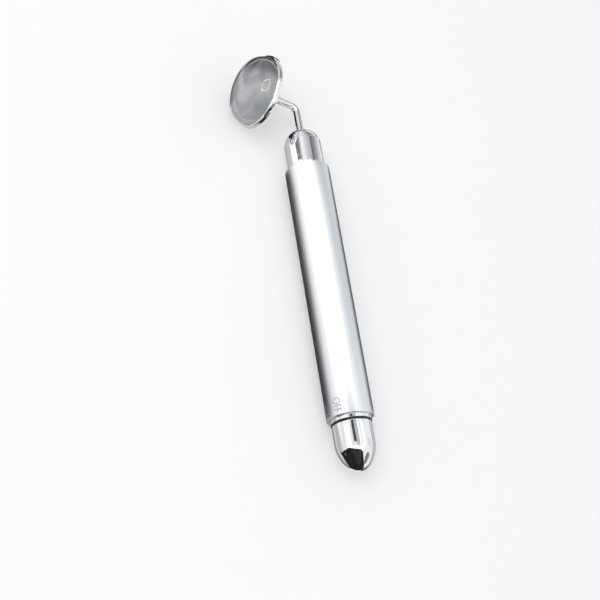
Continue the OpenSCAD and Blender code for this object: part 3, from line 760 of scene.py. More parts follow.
# %% Turn the stone
STONE_FOOT_EDGE = 0.2
crown, tilt = oval(STONE_R, STONE_H, STONE_SIDE_R)
stone = pen_at(0, STONE_H)
arc_to(stone, 0, STONE_H - crown, tilt - 90, steps=40)
arc_to(stone, STONE_R - STONE_SIDE_R, 0, -tilt, steps=28)
line_to(stone, (STONE_R, -STONE_FOOT), (0, -STONE_FOOT))
round_corner(stone, STONE_R, -STONE_FOOT, STONE_FOOT_EDGE)
turn_on_lathe(stone, steps=FINE_STEPS)
make_piece("stone", stone, MILKY_QUARTZ, "head", ["stone_dome"], place=AT_RIM)
print("the stone's crown has radius", round(crown, 1), "mm")

# %% [markdown]
# ## Black plastic
# Two moulded black plugs are seen only when the ends come off. Moulded plastic is never
# quite even: the mould leaves a very fine grain, and the melt leaves faint flow marks. A
# flat black would do from far away. A fine noise in the bump and the roughness makes the
# grain, and a wide one in the colour makes the flow.

# %% Black moulded plastic
def moulded_plastic(name="plug_plastic", colour=(0.02, 0.02, 0.022), scale=2500):
    finish = Finish(name, colour, roughness=0.45)
    spark = finish.noise(scale, detail=3, rough=0.6)
    flow = finish.noise(140, detail=2)
    finish.mottle(flow, 0.3, 0.7, colour, shade(colour, 1.5))
    finish.dull(spark, 0.38, 0.52)
    finish.emboss(spark, 0.000012)
    return finish.material


PLUG_PLASTIC = moulded_plastic()

# %% [markdown]
# ## The head's plug
# A plain sleeve joins the head to the handle: it is fixed in the head cap and pushed into
# the tube. Two cylinders and a boolean would make it, but one outline also gives it the
# shoulder between its two widths and the rounded edge that leads it into the tube.

# %% Turn the head's plug
PLUG_TUBE = 7.5
PLUG_CAP = 9.0
SLEEVE_WALL = 1.5
SLEEVE_EDGE = 0.5
plug_out_r = head_bore_r - SEAT_GAP
plug_in_r = plug_out_r - SLEEVE_WALL
sleeve_r = BORE_R - RUN_GAP
head_plug = pen_at(plug_in_r, TUBE_LEN - PLUG_TUBE)
line_to(head_plug, (sleeve_r, TUBE_LEN - PLUG_TUBE), (sleeve_r, TUBE_LEN), (plug_out_r, TUBE_LEN))
line_to(head_plug, (plug_out_r, TUBE_LEN + PLUG_CAP), (plug_in_r, TUBE_LEN + PLUG_CAP))
close(head_plug)
round_corner(head_plug, sleeve_r, TUBE_LEN - PLUG_TUBE, SLEEVE_EDGE)
turn_on_lathe(head_plug)
make_piece("head_sleeve", head_plug, PLUG_PLASTIC, "head", ["head_plug"])

# %% [markdown]
# ## The cap's plug
# The cap's plug screws into the collar, so it has a thread. A Screw modifier could wind one.
# Here a small tooth is spun up a few turns, which spin does when it is given a step along
# the axis, so thread and plug stay in one way of working. A boolean joins the two, and
# another cuts the slot for the contact strip.

# %% Turn the cap's plug and its thread
PLUG_IN = 4.6
PLUG_HELD = 6.0
PLUG_FLOOR = 1.0
PLUG_WALL = 1.1
PLUG_EDGE = 0.25
STRIP_T = 0.3
STRIP_W = 2.4
STRIP_LOW = 1.1
STRIP_SUNK = 0.12
SLOT_REACH = 1.0
LAND_TOP = -COLLAR_LIP + 0.4
ROOT_LOW = -COLLAR_LIP + 0.55
THREAD_LOW = -COLLAR_LIP + 1.15
TOOTH_SUNK = 0.15
THREAD_TURNS = 3.25
THREAD_PITCH = 1.1
THREAD_DEPTH = 0.3
TOOTH_HALF = 0.3 * THREAD_PITCH
TURN_STEPS = 96
plug_r = PASS_R - RUN_GAP
groove_r = RING_MID_R - RING_D / 2 - SEAT_GAP
held_r = inner_r - SEAT_GAP
plug_bore_r = held_r - PLUG_WALL
plug_low = CAP_MOUTH - PLUG_HELD
spring_seat_z = plug_low + PLUG_FLOOR
root_r = plug_r - THREAD_DEPTH


def combine(bm, tool_bm, operation):
    """The first mesh joined with the second, or cut by it, as a new bmesh."""
    base = to_object("base", bm)
    tool = to_object("tool", tool_bm)
    boolean = base.modifiers.new("combine", "BOOLEAN")
    boolean.operation = operation
    boolean.solver = "EXACT"
    boolean.object = tool
    result = bmesh.new()
    result.from_object(base, bpy.context.evaluated_depsgraph_get())
    for helper in (base, tool):
        mesh = helper.data
        bpy.data.objects.remove(helper)
        bpy.data.meshes.remove(mesh)
    return result


def thread_tooth(root, crest, low):
    """A closed tooth, screwed up round the axis from the height low."""
    tooth = bmesh.new()
    buried = root - TOOTH_SUNK
    tip = TOOTH_HALF / 3
    corners = ((buried, -TOOTH_HALF), (crest, -tip), (crest, tip), (buried, TOOTH_HALF))
    section = tooth.faces.new([tooth.verts.new((r, 0, low + z)) for r, z in corners])
    steps = round(TURN_STEPS * THREAD_TURNS)
    start = bmesh.ops.duplicate(tooth, geom=[section])["geom"]
    bmesh.ops.spin(
        tooth, geom=start, cent=(0, 0, 0), axis=(0, 0, 1), angle=2 * pi * THREAD_TURNS,
        steps=steps, dvec=(0, 0, THREAD_PITCH * THREAD_TURNS / steps),
    )
    bmesh.ops.remove_doubles(tooth, verts=tooth.verts, dist=MERGE_DIST)
    bmesh.ops.recalc_face_normals(tooth, faces=tooth.faces)
    return tooth


plug = pen_at(0, plug_low)
line_to(plug, (held_r, plug_low), (held_r, CAP_MOUTH), (groove_r, CAP_MOUTH))
line_to(plug, (groove_r, -COLLAR_LIP), (plug_r, -COLLAR_LIP), (plug_r, LAND_TOP))
line_to(plug, (root_r, ROOT_LOW), (root_r, PLUG_IN), (plug_bore_r, PLUG_IN))
line_to(plug, (plug_bore_r, spring_seat_z), (0, spring_seat_z))
round_corner(plug, root_r, PLUG_IN, PLUG_EDGE)
turn_on_lathe(plug)
plug = combine(plug, thread_tooth(root_r, plug_r, THREAD_LOW), "UNION")
slot = bmesh.new()
bmesh.ops.create_cube(slot, size=1)
strip_out_x = plug_r - STRIP_SUNK
slot_size = (SLOT_REACH, STRIP_W + 2 * SEAT_GAP, PLUG_IN)
slot_low = (strip_out_x - STRIP_T - SEAT_GAP, -slot_size[1] / 2, STRIP_LOW - 2 * SEAT_GAP)
bmesh.ops.scale(slot, verts=slot.verts, vec=slot_size)
slot_centre = [low + size / 2 for low, size in zip(slot_low, slot_size)]
bmesh.ops.translate(slot, verts=slot.verts, vec=slot_centre)
plug = combine(plug, slot, "DIFFERENCE")
bmesh.ops.remove_doubles(plug, verts=plug.verts, dist=0.002)
bmesh.ops.holes_fill(plug, edges=[edge for edge in plug.edges if edge.is_boundary], sides=0)
make_piece("threaded_plug", plug, PLUG_PLASTIC, "switch_cap", ["cap_plug"])

# %% [markdown]
# ## The spring
# A coil spring of plated steel pushes the cell forward. A curve could follow the coil, but
# all its points would have to be worked out. A small circle is spun up round the axis
# instead, and the first and last part of a turn are spun flat, as a real spring's ends are
# closed. Cells a millimetre wide give the plating its soft patches.

# %% Wind the spring
SPRING_WIRE = 0.7
SPRING_TURNS = 5
SPRING_ROOM = 0.75
FLAT_TURN = 0.75
COIL_STEPS = 48
CELL_GAP = 0.4
CELL_Z = PLUG_IN + STRIP_T + CELL_GAP
wire_r = SPRING_WIRE / 2
spring_mid_r = plug_bore_r - SPRING_ROOM - STRIP_T - wire_r
spring_low = spring_seat_z + STRIP_T + wire_r + FACE_GAP / 2
spring_high = CELL_Z - FACE_GAP - wire_r


def plated_steel(name, colour, scale=900, rough=(0.2, 0.34)):
    """Zinc or nickel over steel: a cool metal with soft patches."""
    finish = Finish(name, colour, metallic=1.0, roughness=0.28)
    patches = finish.cells(scale)
    fine = finish.noise(3 * scale, detail=3)
    finish.dull(fine, *rough)
    finish.mottle(patches, 0.0, 0.8, colour, shade(colour, 0.84))
    finish.emboss(fine, 0.000008)
    return finish.material


def wind(bm, end, turns, rise):
    """Spins the newest ring of a spring on by some turns, climbing by rise."""
    steps = round(COIL_STEPS * turns)
    return bmesh.ops.spin(
        bm, geom=end, cent=(0, 0, 0), axis=(0, 0, 1), angle=2 * pi * turns, steps=steps,
        dvec=(0, 0, rise / steps),
    )["geom_last"]


SPRING_STEEL = plated_steel("spring_steel", (0.72, 0.73, 0.75))
spring = upright_circle(wire_r, spring_mid_r, spring_low, segments=16)
coil_end = spring.verts[:] + spring.edges[:]
for turns, rise in ((FLAT_TURN, 0), (SPRING_TURNS, spring_high - spring_low), (FLAT_TURN, 0)):
    coil_end = wind(spring, coil_end, turns, rise)
seal(spring)
make_piece("spring", spring, SPRING_STEEL, "switch_cap", ["battery_spring"])

# %% [markdown]
# ## The cell
# The cell is a steel can with a shrunk jacket, and its bare ends show the metal. One mesh
# with two materials would look the same. Two closed pieces are chosen because the real ones
# are separate too. The jacket is printed in two plain colours, which change at one height
# along the cell, so its paint is a choice made by the place along the handle.

# %% Turn the cell and its jacket
CELL_LEN = 50.5
NUB_R = 2.7
NUB_H = 1.2
CELL_SHOULDER = 0.5
CELL_ROOM = 0.25
CELL_EDGE = 0.25
NUB_EDGE = 0.35
GROOVE = ((1.6, 0), (1.3, 0.25), (0.9, 0))
JACKET_T = 0.15
JACKET_INSET = 0.3
JACKET_EDGE = 0.08
COLOUR_CHANGE = 0.74
LINE_WIDE = 1.2
cell_r = PASS_R - CELL_ROOM
can_r = cell_r - JACKET_T - SEAT_GAP
cell_top = CELL_Z + CELL_LEN - NUB_H

cell = pen_at(0, CELL_Z)
line_to(cell, *[(can_r - inset, CELL_Z + depth) for inset, depth in GROOVE])
line_to(cell, (can_r, CELL_Z), (can_r, cell_top - CELL_SHOULDER), (can_r - CELL_SHOULDER, cell_top))
line_to(cell, (NUB_R, cell_top), (NUB_R, cell_top + NUB_H), (0, cell_top + NUB_H))
round_corner(cell, can_r, CELL_Z, CELL_EDGE)
round_corner(cell, NUB_R, cell_top + NUB_H, NUB_EDGE)
turn_on_lathe(cell)
make_piece("cell", cell, SPRING_STEEL, "battery", ["battery_cell"])


def printed_jacket():
    """A shrunk jacket in two plain colours, with a thin light line between them."""
    finish = Finish("cell_jacket", (0.05, 0.1, 0.13), roughness=0.22)
    along = finish.split()["Y"]
    change = (CELL_Z + COLOUR_CHANGE * CELL_LEN - TUBE_LEN / 2) * MM
    line_top = change + LINE_WIDE * MM
    soft = 0.05 * MM
    upper = finish.spread(along, change - soft, change + soft)
    line_end = finish.spread(along, line_top - soft, line_top + soft)
    body = finish.colours(upper, (0.03, 0.07, 0.1), (0.72, 0.73, 0.74))
    print_colours = finish.colours(line_end, body, (0.5, 0.22, 0.06))
    scuffs = finish.spread(finish.noise(420, detail=6, rough=0.7), 0.62, 0.8, 0.0, 0.25)
    finish.paint(finish.colours(scuffs, print_colours, (0.6, 0.6, 0.6)))
    finish.dull(finish.noise(300, detail=4), 0.16, 0.32)
    return finish.material


jacket_low = CELL_Z + JACKET_INSET
jacket_high = cell_top - CELL_SHOULDER
jacket = pen_at(cell_r - JACKET_T, jacket_low)
line_to(jacket, (cell_r, jacket_low), (cell_r, jacket_high), (cell_r - JACKET_T, jacket_high))
close(jacket)
for end in (jacket_low, jacket_high):
    round_corner(jacket, cell_r, end, JACKET_EDGE, segments=3)
turn_on_lathe(jacket)
make_piece("jacket", jacket, printed_jacket(), "battery", ["battery_sleeve"])

# %% [markdown]
# ## The works inside
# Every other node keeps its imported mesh, because its facets don't show inside the tube, and
# gets a finish of its own. Stamped brass is bright and a little tarnished, the circuit board
# shows the weave of its glass cloth, the armature shows the edges of its iron sheets, and
# the windings show their turns of wire. Pictures could show all this, but noise and bands
# stay sharp at any distance. Each finish is one short function.

# %% Finishes for the inner nodes
def warm_metal(name, colour, rough=(0.22, 0.38), scale=500):
    """Brass or bronze, darker where it has tarnished."""
    finish = Finish(name, colour, metallic=1.0, roughness=0.3)
    tarnish = finish.noise(scale, detail=5, rough=0.6)
    darker = (0.7 * colour[0], 0.64 * colour[1], 0.55 * colour[2])
    finish.mottle(tarnish, 0.45, 0.75, colour, darker)
    finish.dull(tarnish, *rough, high=0.75)
    finish.emboss(finish.noise(5 * scale, detail=2), 0.00001)
    return finish.material


def glass_board():
    """Green lacquer over woven glass cloth."""
    finish = Finish("board", (0.03, 0.13, 0.07), roughness=0.3)
    weave = finish.sum(finish.bands(1600, "X"), finish.bands(1600, "Z"), "MULTIPLY")
    finish.paint(finish.colours(weave, (0.02, 0.1, 0.05), (0.05, 0.19, 0.1)))
    finish.emboss(weave, 0.00001)
    return finish.material


def striped(name, colour, gap_colour, per_metre, axis, metallic, roughness, depth):
    """Fine even lines across an axis: sheets of iron, or turns of wire."""
    finish = Finish(name, colour, metallic=metallic, roughness=roughness)
    lines = finish.bands(per_metre, axis, distortion=0.3)
    finish.mottle(lines, 0.0, 0.35, gap_colour, colour)
    finish.dull(finish.noise(900), roughness - 0.06, roughness + 0.08)
    finish.emboss(lines, depth)
    return finish.material


def speckled(name, colour, light, roughness, scale):
    """A dull body with a scatter of lighter grains."""
    finish = Finish(name, colour, roughness=roughness)
    grains = finish.noise(scale, detail=6, rough=0.7)
    finish.mottle(grains, 0.5, 0.75, colour, light)
    finish.dull(grains, roughness - 0.08, roughness + 0.08)
    finish.emboss(grains, 0.00002)
    return finish.material


# %% [markdown]
# ## A finish for each inner node
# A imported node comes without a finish. One could be given wherever a node is mentioned, and
# then one is soon forgotten. A single table names them all, and what is left bare is printed.

# %% Give the inner nodes their finishes
BRASS = warm_metal("stamped_brass", (0.83, 0.66, 0.36))
BRONZE = warm_metal("sintered_bronze", (0.62, 0.42, 0.22), rough=(0.45, 0.6), scale=1800)
COPPER = striped(
    "copper_turns", (0.72, 0.32, 0.16), (0.2, 0.07, 0.04), 4500, "Y", 0.9, 0.3, 0.00004
)
ZINC_STEEL = plated_steel("zinc_steel", (0.66, 0.67, 0.7), scale=600, rough=(0.3, 0.45))
MOTOR_STEEL = plated_steel("motor_steel", (0.7, 0.71, 0.73), scale=300, rough=(0.22, 0.32))
FINISH_OF = {
    "neck_washer": ZINC_STEEL,
    "neck_nut": ZINC_STEEL,
    "battery_liner": moulded_plastic("liner_plastic", (0.55, 0.55, 0.52)),
    "front_contact": BRASS,
    "contact_board": glass_board(),
    "lead_positive": moulded_plastic("lead_red", (0.42, 0.02, 0.015), scale=6000),
    "lead_negative": moulded_plastic("lead_black", (0.015, 0.015, 0.015), scale=6000),
    "motor_holder": black_rubber("holder_rubber", (0.05, 0.05, 0.055)),
    "motor_can": MOTOR_STEEL,
    "motor_end_bell": moulded_plastic("bell_plastic", (0.5, 0.47, 0.38)),
    "field_magnets": speckled("ferrite", (0.035, 0.035, 0.04), (0.12, 0.12, 0.13), 0.5, 5000),
    "front_bush": BRONZE,
    "rear_bush": BRONZE,
    "brushes": BRASS,
    "motor_terminals": BRASS,
    "motor_shaft": SPRING_STEEL,
    "armature_core": striped(
        "core_iron", (0.3, 0.3, 0.32), (0.06, 0.06, 0.06), 2500, "Y", 0.9, 0.4, 0.00003
    ),
    "armature_windings": COPPER,
    "commutator": warm_metal("commutator_copper", (0.75, 0.4, 0.24)),
    "eccentric_weight": warm_metal("cast_brass", (0.72, 0.58, 0.34), rough=(0.35, 0.55), scale=900),
    "battery_washer": speckled("washer_paper", (0.62, 0.6, 0.53), (0.75, 0.73, 0.67), 0.75, 3000),
    "spring_seat": BRASS,
    "switch_strip": BRASS,
}
for name, material in FINISH_OF.items():
    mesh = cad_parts[name].data
    mesh.materials.clear()
    mesh.materials.append(material)
stood_for = {name for piece in made for name in piece.get("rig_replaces", [])}
bare = set(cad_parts) - set(FINISH_OF) - stood_for
print("finished inner nodes:", len(FINISH_OF), "; left without a finish:", sorted(bare))

# %% [markdown]
# ## The switch marks
# Two small words are pad-printed near the cap, OFF towards the front and ON further round,
# reading along the handle. Text is flat, so it is made a mesh first, cut finely enough to
# bend, and rolled on to the tube: its height becomes an angle. The film is given a hair of
# thickness, so that it is a solid that stands just proud of the metal.

# %% The ink and the letters
THINNER_STROKES = -0.012
LETTER_STEPS = 6


def print_ink():
    finish = Finish("print_ink", (0.3, 0.3, 0.32), roughness=0.4)
    thin_ink_and_painted_shade = finish.noise(1500, detail=3)
    finish.mottle(thin_ink_and_painted_shade, 0.35, 0.65, (0.24, 0.24, 0.26), (0.38, 0.38, 0.41))
    return finish.material


def word_mesh(word):
    """The word as a thin flat solid, one unit tall, with its letters cut finely."""
    curve = bpy.data.curves.new(word, "FONT")
    curve.body = word
    curve.offset = THINNER_STROKES
    curve.resolution_u = LETTER_STEPS
    text = bpy.data.objects.new(word, curve)
    bpy.context.scene.collection.objects.link(text)
    bpy.context.view_layer.update()
    flat = bmesh.new()
    mesh = text.to_mesh()
    flat.from_mesh(mesh)
    text.to_mesh_clear()
    bpy.data.objects.remove(text)
    bpy.data.curves.remove(curve)
    return flat


# %% Print OFF and ON on the tube
MARK_HEIGHT = 3.2
MARK_SQUEEZE = 0.68
MARK_FILM = 0.02
MARK_FOOT = 1.3
MARK_LIFT = 0.003
MARK_CUTS = 12
MARKS = {"OFF": 51.6, "ON": 90.0}


def print_word(word, angle, material):
    """Rolls a word on to the tube, reading down the handle, at an angle from straight up."""
    letters = word_mesh(word)
    bmesh.ops.remove_doubles(letters, verts=letters.verts, dist=0.0001)
    low = min(v.co.y for v in letters.verts)
    tall = max(v.co.y for v in letters.verts) - low
    left = min(v.co.x for v in letters.verts)
    wide = max(v.co.x for v in letters.verts) - left
    for cut in range(1, MARK_CUTS):
        height = low + tall * cut / MARK_CUTS
        bmesh.ops.bisect_plane(
            letters, geom=letters.verts[:] + letters.edges[:] + letters.faces[:],
            plane_co=(0, height, 0), plane_no=(0, 1, 0),
        )
    size = MARK_HEIGHT / tall
    bmesh.ops.solidify(letters, geom=letters.faces[:], thickness=MARK_FILM / size)
    flat_z = min(v.co.z for v in letters.verts)
    length = wide * size * MARK_SQUEEZE
    for v in letters.verts:
        across = (v.co.y - low - tall / 2) * size
        along = MARK_FOOT + length - (v.co.x - left) * size * MARK_SQUEEZE
        radius = TUBE_R + MARK_LIFT + (v.co.z - flat_z) * size
        turn = radians(angle) - across / TUBE_R
        v.co = (-radius * sin(turn) * MM, (along - TUBE_LEN / 2) * MM, radius * cos(turn) * MM)
    bmesh.ops.recalc_face_normals(letters, faces=letters.faces)
    make_piece("mark_" + word.lower(), letters, material, "handle", place=Matrix.Identity(4))
    print(word, "is", round(length, 1), "mm long")


ink = print_ink()
for word, angle in MARKS.items():
    print_word(word, angle, ink)

# %% [markdown]
# ## The floor
# The wand lies on a plain pale floor. A real studio sweep is lit until it is nearly white,
# but more light would bleach the wand as well. So the floor keeps a pale colour and a soft
# shadow, and glows a little for the camera and for mirrors only.

# %% The floor
FLOOR_Z = -TUBE_R * MM
FLOOR_SIZE = 4.0
FLOOR_LIFT = 0.22


def pale_floor():
    finish = Finish("pale_floor", (0.92, 0.922, 0.93), roughness=0.8, Specular_IOR_Level=0.0)
    tone = finish.noise(6, detail=3)
    finish.paint(finish.colours(tone, (0.915, 0.918, 0.926), (0.925, 0.928, 0.936)))
    path = finish.node("ShaderNodeLightPath")
    seen = finish.sum(path.outputs["Is Camera Ray"], path.outputs["Is Glossy Ray"], "MAXIMUM")
    seen = finish.sum(seen, path.outputs["Is Transmission Ray"], "MAXIMUM")
    finish.shader.inputs["Emission Color"].default_value = (1, 1, 1, 1)
    finish.link(finish.sum(seen, FLOOR_LIFT, "MULTIPLY"), finish.shader.inputs["Emission Strength"])
    return finish.material


def make_stage(name, bm, material):
    """An object of the studio, which is no piece of the wand."""
    piece = to_object(name, bm)
    piece.data.materials.append(material)
    return piece


floor = bmesh.new()
bmesh.ops.create_grid(floor, x_segments=1, y_segments=1, size=FLOOR_SIZE / 2)
bmesh.ops.translate(floor, verts=floor.verts, vec=(0, 0, FLOOR_Z))
make_stage("floor", floor, pale_floor())
print("the floor lies at", round(FLOOR_Z / MM, 1), "mm")

# %% [markdown]
# ## Cards for reflections
# Shiny metal shows nothing but its surroundings, so they are arranged as a photographer
# would, with white, grey and black cards. Only mirrors see these cards: they neither light
# the floor nor shade it, so every colour stays at the level at which it is written. A card
# may have a ramp of levels from side to side, since a lying cylinder mirrors a roof above it
# as stripes along its length. Places are in millimetres.

# %% The light of a card
def glow(name, level, tint=(1, 1, 1)):
    material = bpy.data.materials.new(name)
    material.use_nodes = True
    nodes = material.node_tree.nodes
    nodes.clear()
    emission = nodes.new("ShaderNodeEmission")
    emission.inputs["Color"].default_value = (*tint, 1)
    emission.inputs["Strength"].default_value = level
    output = nodes.new("ShaderNodeOutputMaterial")
    material.node_tree.links.new(emission.outputs[0], output.inputs["Surface"])
    return material


def ramp_glow(name, stops, tint):
    """Light whose level changes along X: pairs of a place in millimetres and a level."""
    material = glow(name, 1.0, tint)
    nodes = material.node_tree.nodes
    links = material.node_tree.links
    place = nodes.new("ShaderNodeTexCoord").outputs["Object"]
    split = nodes.new("ShaderNodeSeparateXYZ")
    links.new(place, split.inputs["Vector"])
    low, high = stops[0][0], stops[-1][0]
    peak = max(level for x, level in stops)
    share = nodes.new("ShaderNodeMapRange")
    share.inputs["From Min"].default_value = low * MM
    share.inputs["From Max"].default_value = high * MM
    links.new(split.outputs["X"], share.inputs["Value"])
    ramp = nodes.new("ShaderNodeValToRGB")
    links.new(share.outputs["Result"], ramp.inputs["Fac"])
    elements = ramp.color_ramp.elements
    for x, level in stops[1:-1]:
        elements.new((x - low) / (high - low))
    for element, (x, level) in zip(elements, stops):
        element.color = (level / peak, level / peak, level / peak, 1)
    strength = nodes.new("ShaderNodeMath")
    strength.operation = "MULTIPLY"
    strength.inputs[1].default_value = peak
    links.new(ramp.outputs["Color"], strength.inputs[0])
    links.new(strength.outputs[0], nodes["Emission"].inputs["Strength"])
    return material


# %% A card that only reflections see
hung = []


def card(name, level, corners, tint=(1, 1, 1)):
    """A card seen only in mirrors. The level is a number, or the stops of a ramp along X."""
    sheet = bmesh.new()
    sheet.faces.new([sheet.verts.new(Vector(corner) * MM) for corner in corners])
    kind = ramp_glow if isinstance(level, list) else glow
    piece = make_stage(name, sheet, kind(name, level, tint))
    for ray in ("camera", "diffuse", "shadow", "transmission", "volume_scatter"):
        setattr(piece, "visible_" + ray, False)
    hung.append(name)


def flat_card(name, level, outline, height, tint=(1, 1, 1)):
    card(name, level, [(x, y, height) for x, y in outline], tint)


def wall(name, level, start, end, low, high, tint=(1, 1, 1)):
    """An upright card between two points on the ground."""
    card(name, level, [(*start, low), (*end, low), (*end, high), (*start, high)], tint)


def oblong(x, y):
    return [(x[0], y[0]), (x[1], y[0]), (x[1], y[1]), (x[0], y[1])]


# %% [markdown]
# ## The room
# Far from the wand stand the things that a mirror would show of any pale room: a bright
# ceiling over its left side, and walls at the left and right that are darker where the
# light doesn't reach. A picture of a room on the surround would do as well, but a card can
# be moved on its own until each edge falls where the photograph has it.

# %% Hang the cards of the room
flat_card("sky", 1.35, oblong((-1500, 160), (-900, 1500)), 420)
wall("left_pale", 0.86, (-700, -210), (-700, 290), 0, 260)
wall("left_white", 1.1, (-700, 290), (-700, 1100), 0, 260)
wall("right_grey", 0.96, (620, -700), (620, 190), 0, 620, tint=(0.93, 0.97, 1.0))
wall("right_far", 0.68, (620, 190), (620, 1100), 0, 620, tint=(0.93, 0.97, 1.0))
print("cards of the room:", len(hung))

# %% [markdown]
# ## What the cap mirrors
# The cap shows a grey panel with a white frame and a dark bar: a lamp hung over the table,
# with its dark holder below it. Its rounded tip points at the dark room in front of the
# table, and between the two lies the white foot of the frame. Under a roof card the cap's
# sides look at the floor, so pale strips lie there. In the dark room a faint smear of light
# crosses the ceiling, and one small card leaves the glint at the tip.

# %% Hang the cards for the cap
BLACK = 0.02
ROOF = 100.0
GROUND = FLOOR_Z / MM + 0.3
UNDER = GROUND - 0.1
COOL = (0.97, 0.97, 1.0)
CAP_STOPS = [
    (-330, 1.15), (-135, 1.2), (-130, 0.7), (-125, 0.7), (-122, 1.6), (-94, 1.6), (-89, 1.0),
    (-51, 0.8), (-45, 0.07), (-23, 0.07), (-18, 0.56), (10, 0.56), (13, 1.5), (26, 1.5), (29, 0.7),
    (33, 0.7), (37, 1.1), (69, 1.15), (113, 0.91), (150, 0.84), (207, 0.76), (330, 0.65),
]
flat_card("cap_lights", CAP_STOPS, oblong((-330, 330), (-60, -24)), ROOF, COOL)
PANEL_STOPS = [(x, 0.9 if -46 < x < -22 else level) for x, level in CAP_STOPS]
for end, reach in (("cap_lights_high", (-24, -20.5)), ("cap_lights_low", (-82, -60))):
    flat_card(end, PANEL_STOPS, oblong((-330, 330), reach), ROOF, COOL)
FOOT_STOPS = [
    (-330, 1.15), (-135, 1.2), (-130, 0.7), (-125, 0.7), (-122, 1.6), (26, 1.6), (29, 0.7),
    (33, 0.7), (37, 1.1), (330, 0.65),
]
flat_card("cap_foot", FOOT_STOPS, oblong((-330, 330), (-99, -82)), ROOF)
CAP_LEFT_STOPS = [
    (-400, 0.85), (-91, 0.8), (-49, 0.7), (-33, 0.6), (-19, 0.44), (-12.5, 0.7), (-9, 0.3),
    (-5, 0.1),
]
flat_card("cap_left", CAP_LEFT_STOPS, oblong((-400, -5), (-90, -46)), UNDER)
CAP_RIGHT_STOPS = [(5, 0.1), (19, 0.35), (29, 0.64), (58, 0.53), (400, 0.53)]
flat_card("cap_right", CAP_RIGHT_STOPS, oblong((5, 400), (-90, 60)), UNDER)

FRONT_ROOF = [
    (-900, -255), (-470, -164), (-201, -106), (-73, -103), (-19, -102), (15, -105), (39, -124),
    (56, -166), (100, -243), (512, -900), (-900, -900),
]
ROOM_STOPS = [
    (-900, BLACK), (-110, BLACK), (-60, 0.05), (-35, 0.03), (0, 0.06), (30, 0.02), (512, BLACK),
]
flat_card("front_roof", ROOM_STOPS, FRONT_ROOF, ROOF, tint=(1.0, 0.86, 0.76))
FRONT_FLOOR = [
    (-18, -72), (-14, -75), (-10, -77), (-3, -79), (2, -80), (6, -80), (14, -91), (512, -900),
    (-900, -900), (-900, -230), (-150, -90), (-35, -71), (-18, -67),
]
flat_card("front_floor", BLACK, FRONT_FLOOR, GROUND)
wall("front_dark", BLACK, (-900, -899), (512, -899), -9, ROOF)
wall("front_side", BLACK, (-899, -900), (-899, -240), -9, ROOF)
SMEAR_STOPS = [(105, 0.1), (160, 0.2), (330, 0.35), (900, 0.6)]
SMEAR = [(105, -150), (150, -135), (330, -190), (900, -520), (900, -900), (530, -900), (105, -245)]
flat_card("smear", SMEAR_STOPS, SMEAR, ROOF)
flat_card("glint", 0.6, [(-68, -85), (-57, -82), (-54, -87), (-64, -91)], GROUND + 0.1)
print("cards with those for the cap:", len(hung))

# %% [markdown]
# ## What the tube, the head and the stone mirror
# The satin tube lies between two dark strips, which give it its soft black flanks. The head
# cap has its own roof, with a dark stripe left and right of a grey middle. A dark patch of
# floor behind the head draws the neck's edges, and a second one behind the stone darkens its
# top. Eight strips of light overhead, closed to a ring, are the frame of a window, which
# leaves a small glint on the polished stone.

# %% Hang the cards for the tube, the head and the stone
TUBE_LEFT_STOPS = [(-120, 0.85), (-50, 0.62), (-36, 0.42), (-24, 0.14), (-16, 0.03), (-4, BLACK)]
TUBE_LEFT = [
    (-4, -51), (-15, -49), (-36, -44.5), (-96, -26), (-96, 99), (-36, 68), (-15, 58), (-4, 53),
]
flat_card("tube_left", TUBE_LEFT_STOPS, TUBE_LEFT, GROUND)
TUBE_RIGHT = [(4, -51), (31, -44.5), (66, -34), (52, 40), (40, 70), (31, 68), (15, 58), (4, 53)]
flat_card("tube_right", BLACK, TUBE_RIGHT, GROUND)

HEAD_STOPS = [
    (-452, 1.1), (-242, 1.06), (-228, 0.15), (-163, 0.18), (-106, 0.25), (-87, 0.42), (-71, 0.75),
    (-57, 1.02), (-33, 0.94), (-10, 0.74), (9, 0.6), (30, 0.53), (49, 0.46), (53, 0.11), (62, 0.11),
    (66, 0.24), (92, 0.27), (155, 0.4), (327, 0.6),
]
HEAD_OUTLINE = [
    (-452, 310), (-211, 180), (-106, 131), (-57, 112), (-10, 104), (40, 108), (66, 114),
    (155, 150), (327, 240), (327, 900), (-452, 900),
]
flat_card("head_lights", HEAD_STOPS, HEAD_OUTLINE, ROOF, COOL)
HEAD_LEFT_STOPS = [(-400, 1.1), (-60, 1.1), (-45, 1.0), (-33, 0.62), (-12, 0.55), (-5, 0.3)]
flat_card("head_left", HEAD_LEFT_STOPS, oblong((-400, -5), (55, 200)), UNDER)
flat_card("head_right", 0.5, oblong((5, 400), (60, 81)), UNDER)
flat_card("neck_right", 0.1, oblong((5, 48), (81.5, 104)), UNDER)
NECK_LEFT = [(3, 79), (0, 78), (-20, 84), (-35, 91), (-52, 101), (-38, 112), (3, 112)]
flat_card("neck_left", BLACK, NECK_LEFT, GROUND)

STONE_BACK = [(-150, 150), (-62, 128), (-18, 118), (25, 125), (90, 330), (-220, 330)]
flat_card("stone_back", 0.05, STONE_BACK, GROUND)
WINDOW = [
    (-92, 122), (-60, 111), (-8, 101), (-6, 72), (-36, 40), (-73, 49), (-136, 72), (-132, 114),
]
WINDOW_LEVELS = (12, 10, 8, 6, 6, 5, 6, 14)
MIDDLE = Vector((-70, 85))
PANE_SHARE = 0.76
PANE = [MIDDLE.lerp(Vector(corner), PANE_SHARE) for corner in WINDOW]
for n, level in enumerate(WINDOW_LEVELS):
    strip = [WINDOW[n - 1], WINDOW[n], PANE[n], PANE[n - 1]]
    flat_card(f"window_{n}", level, strip, ROOF)
print("cards in all:", len(hung))

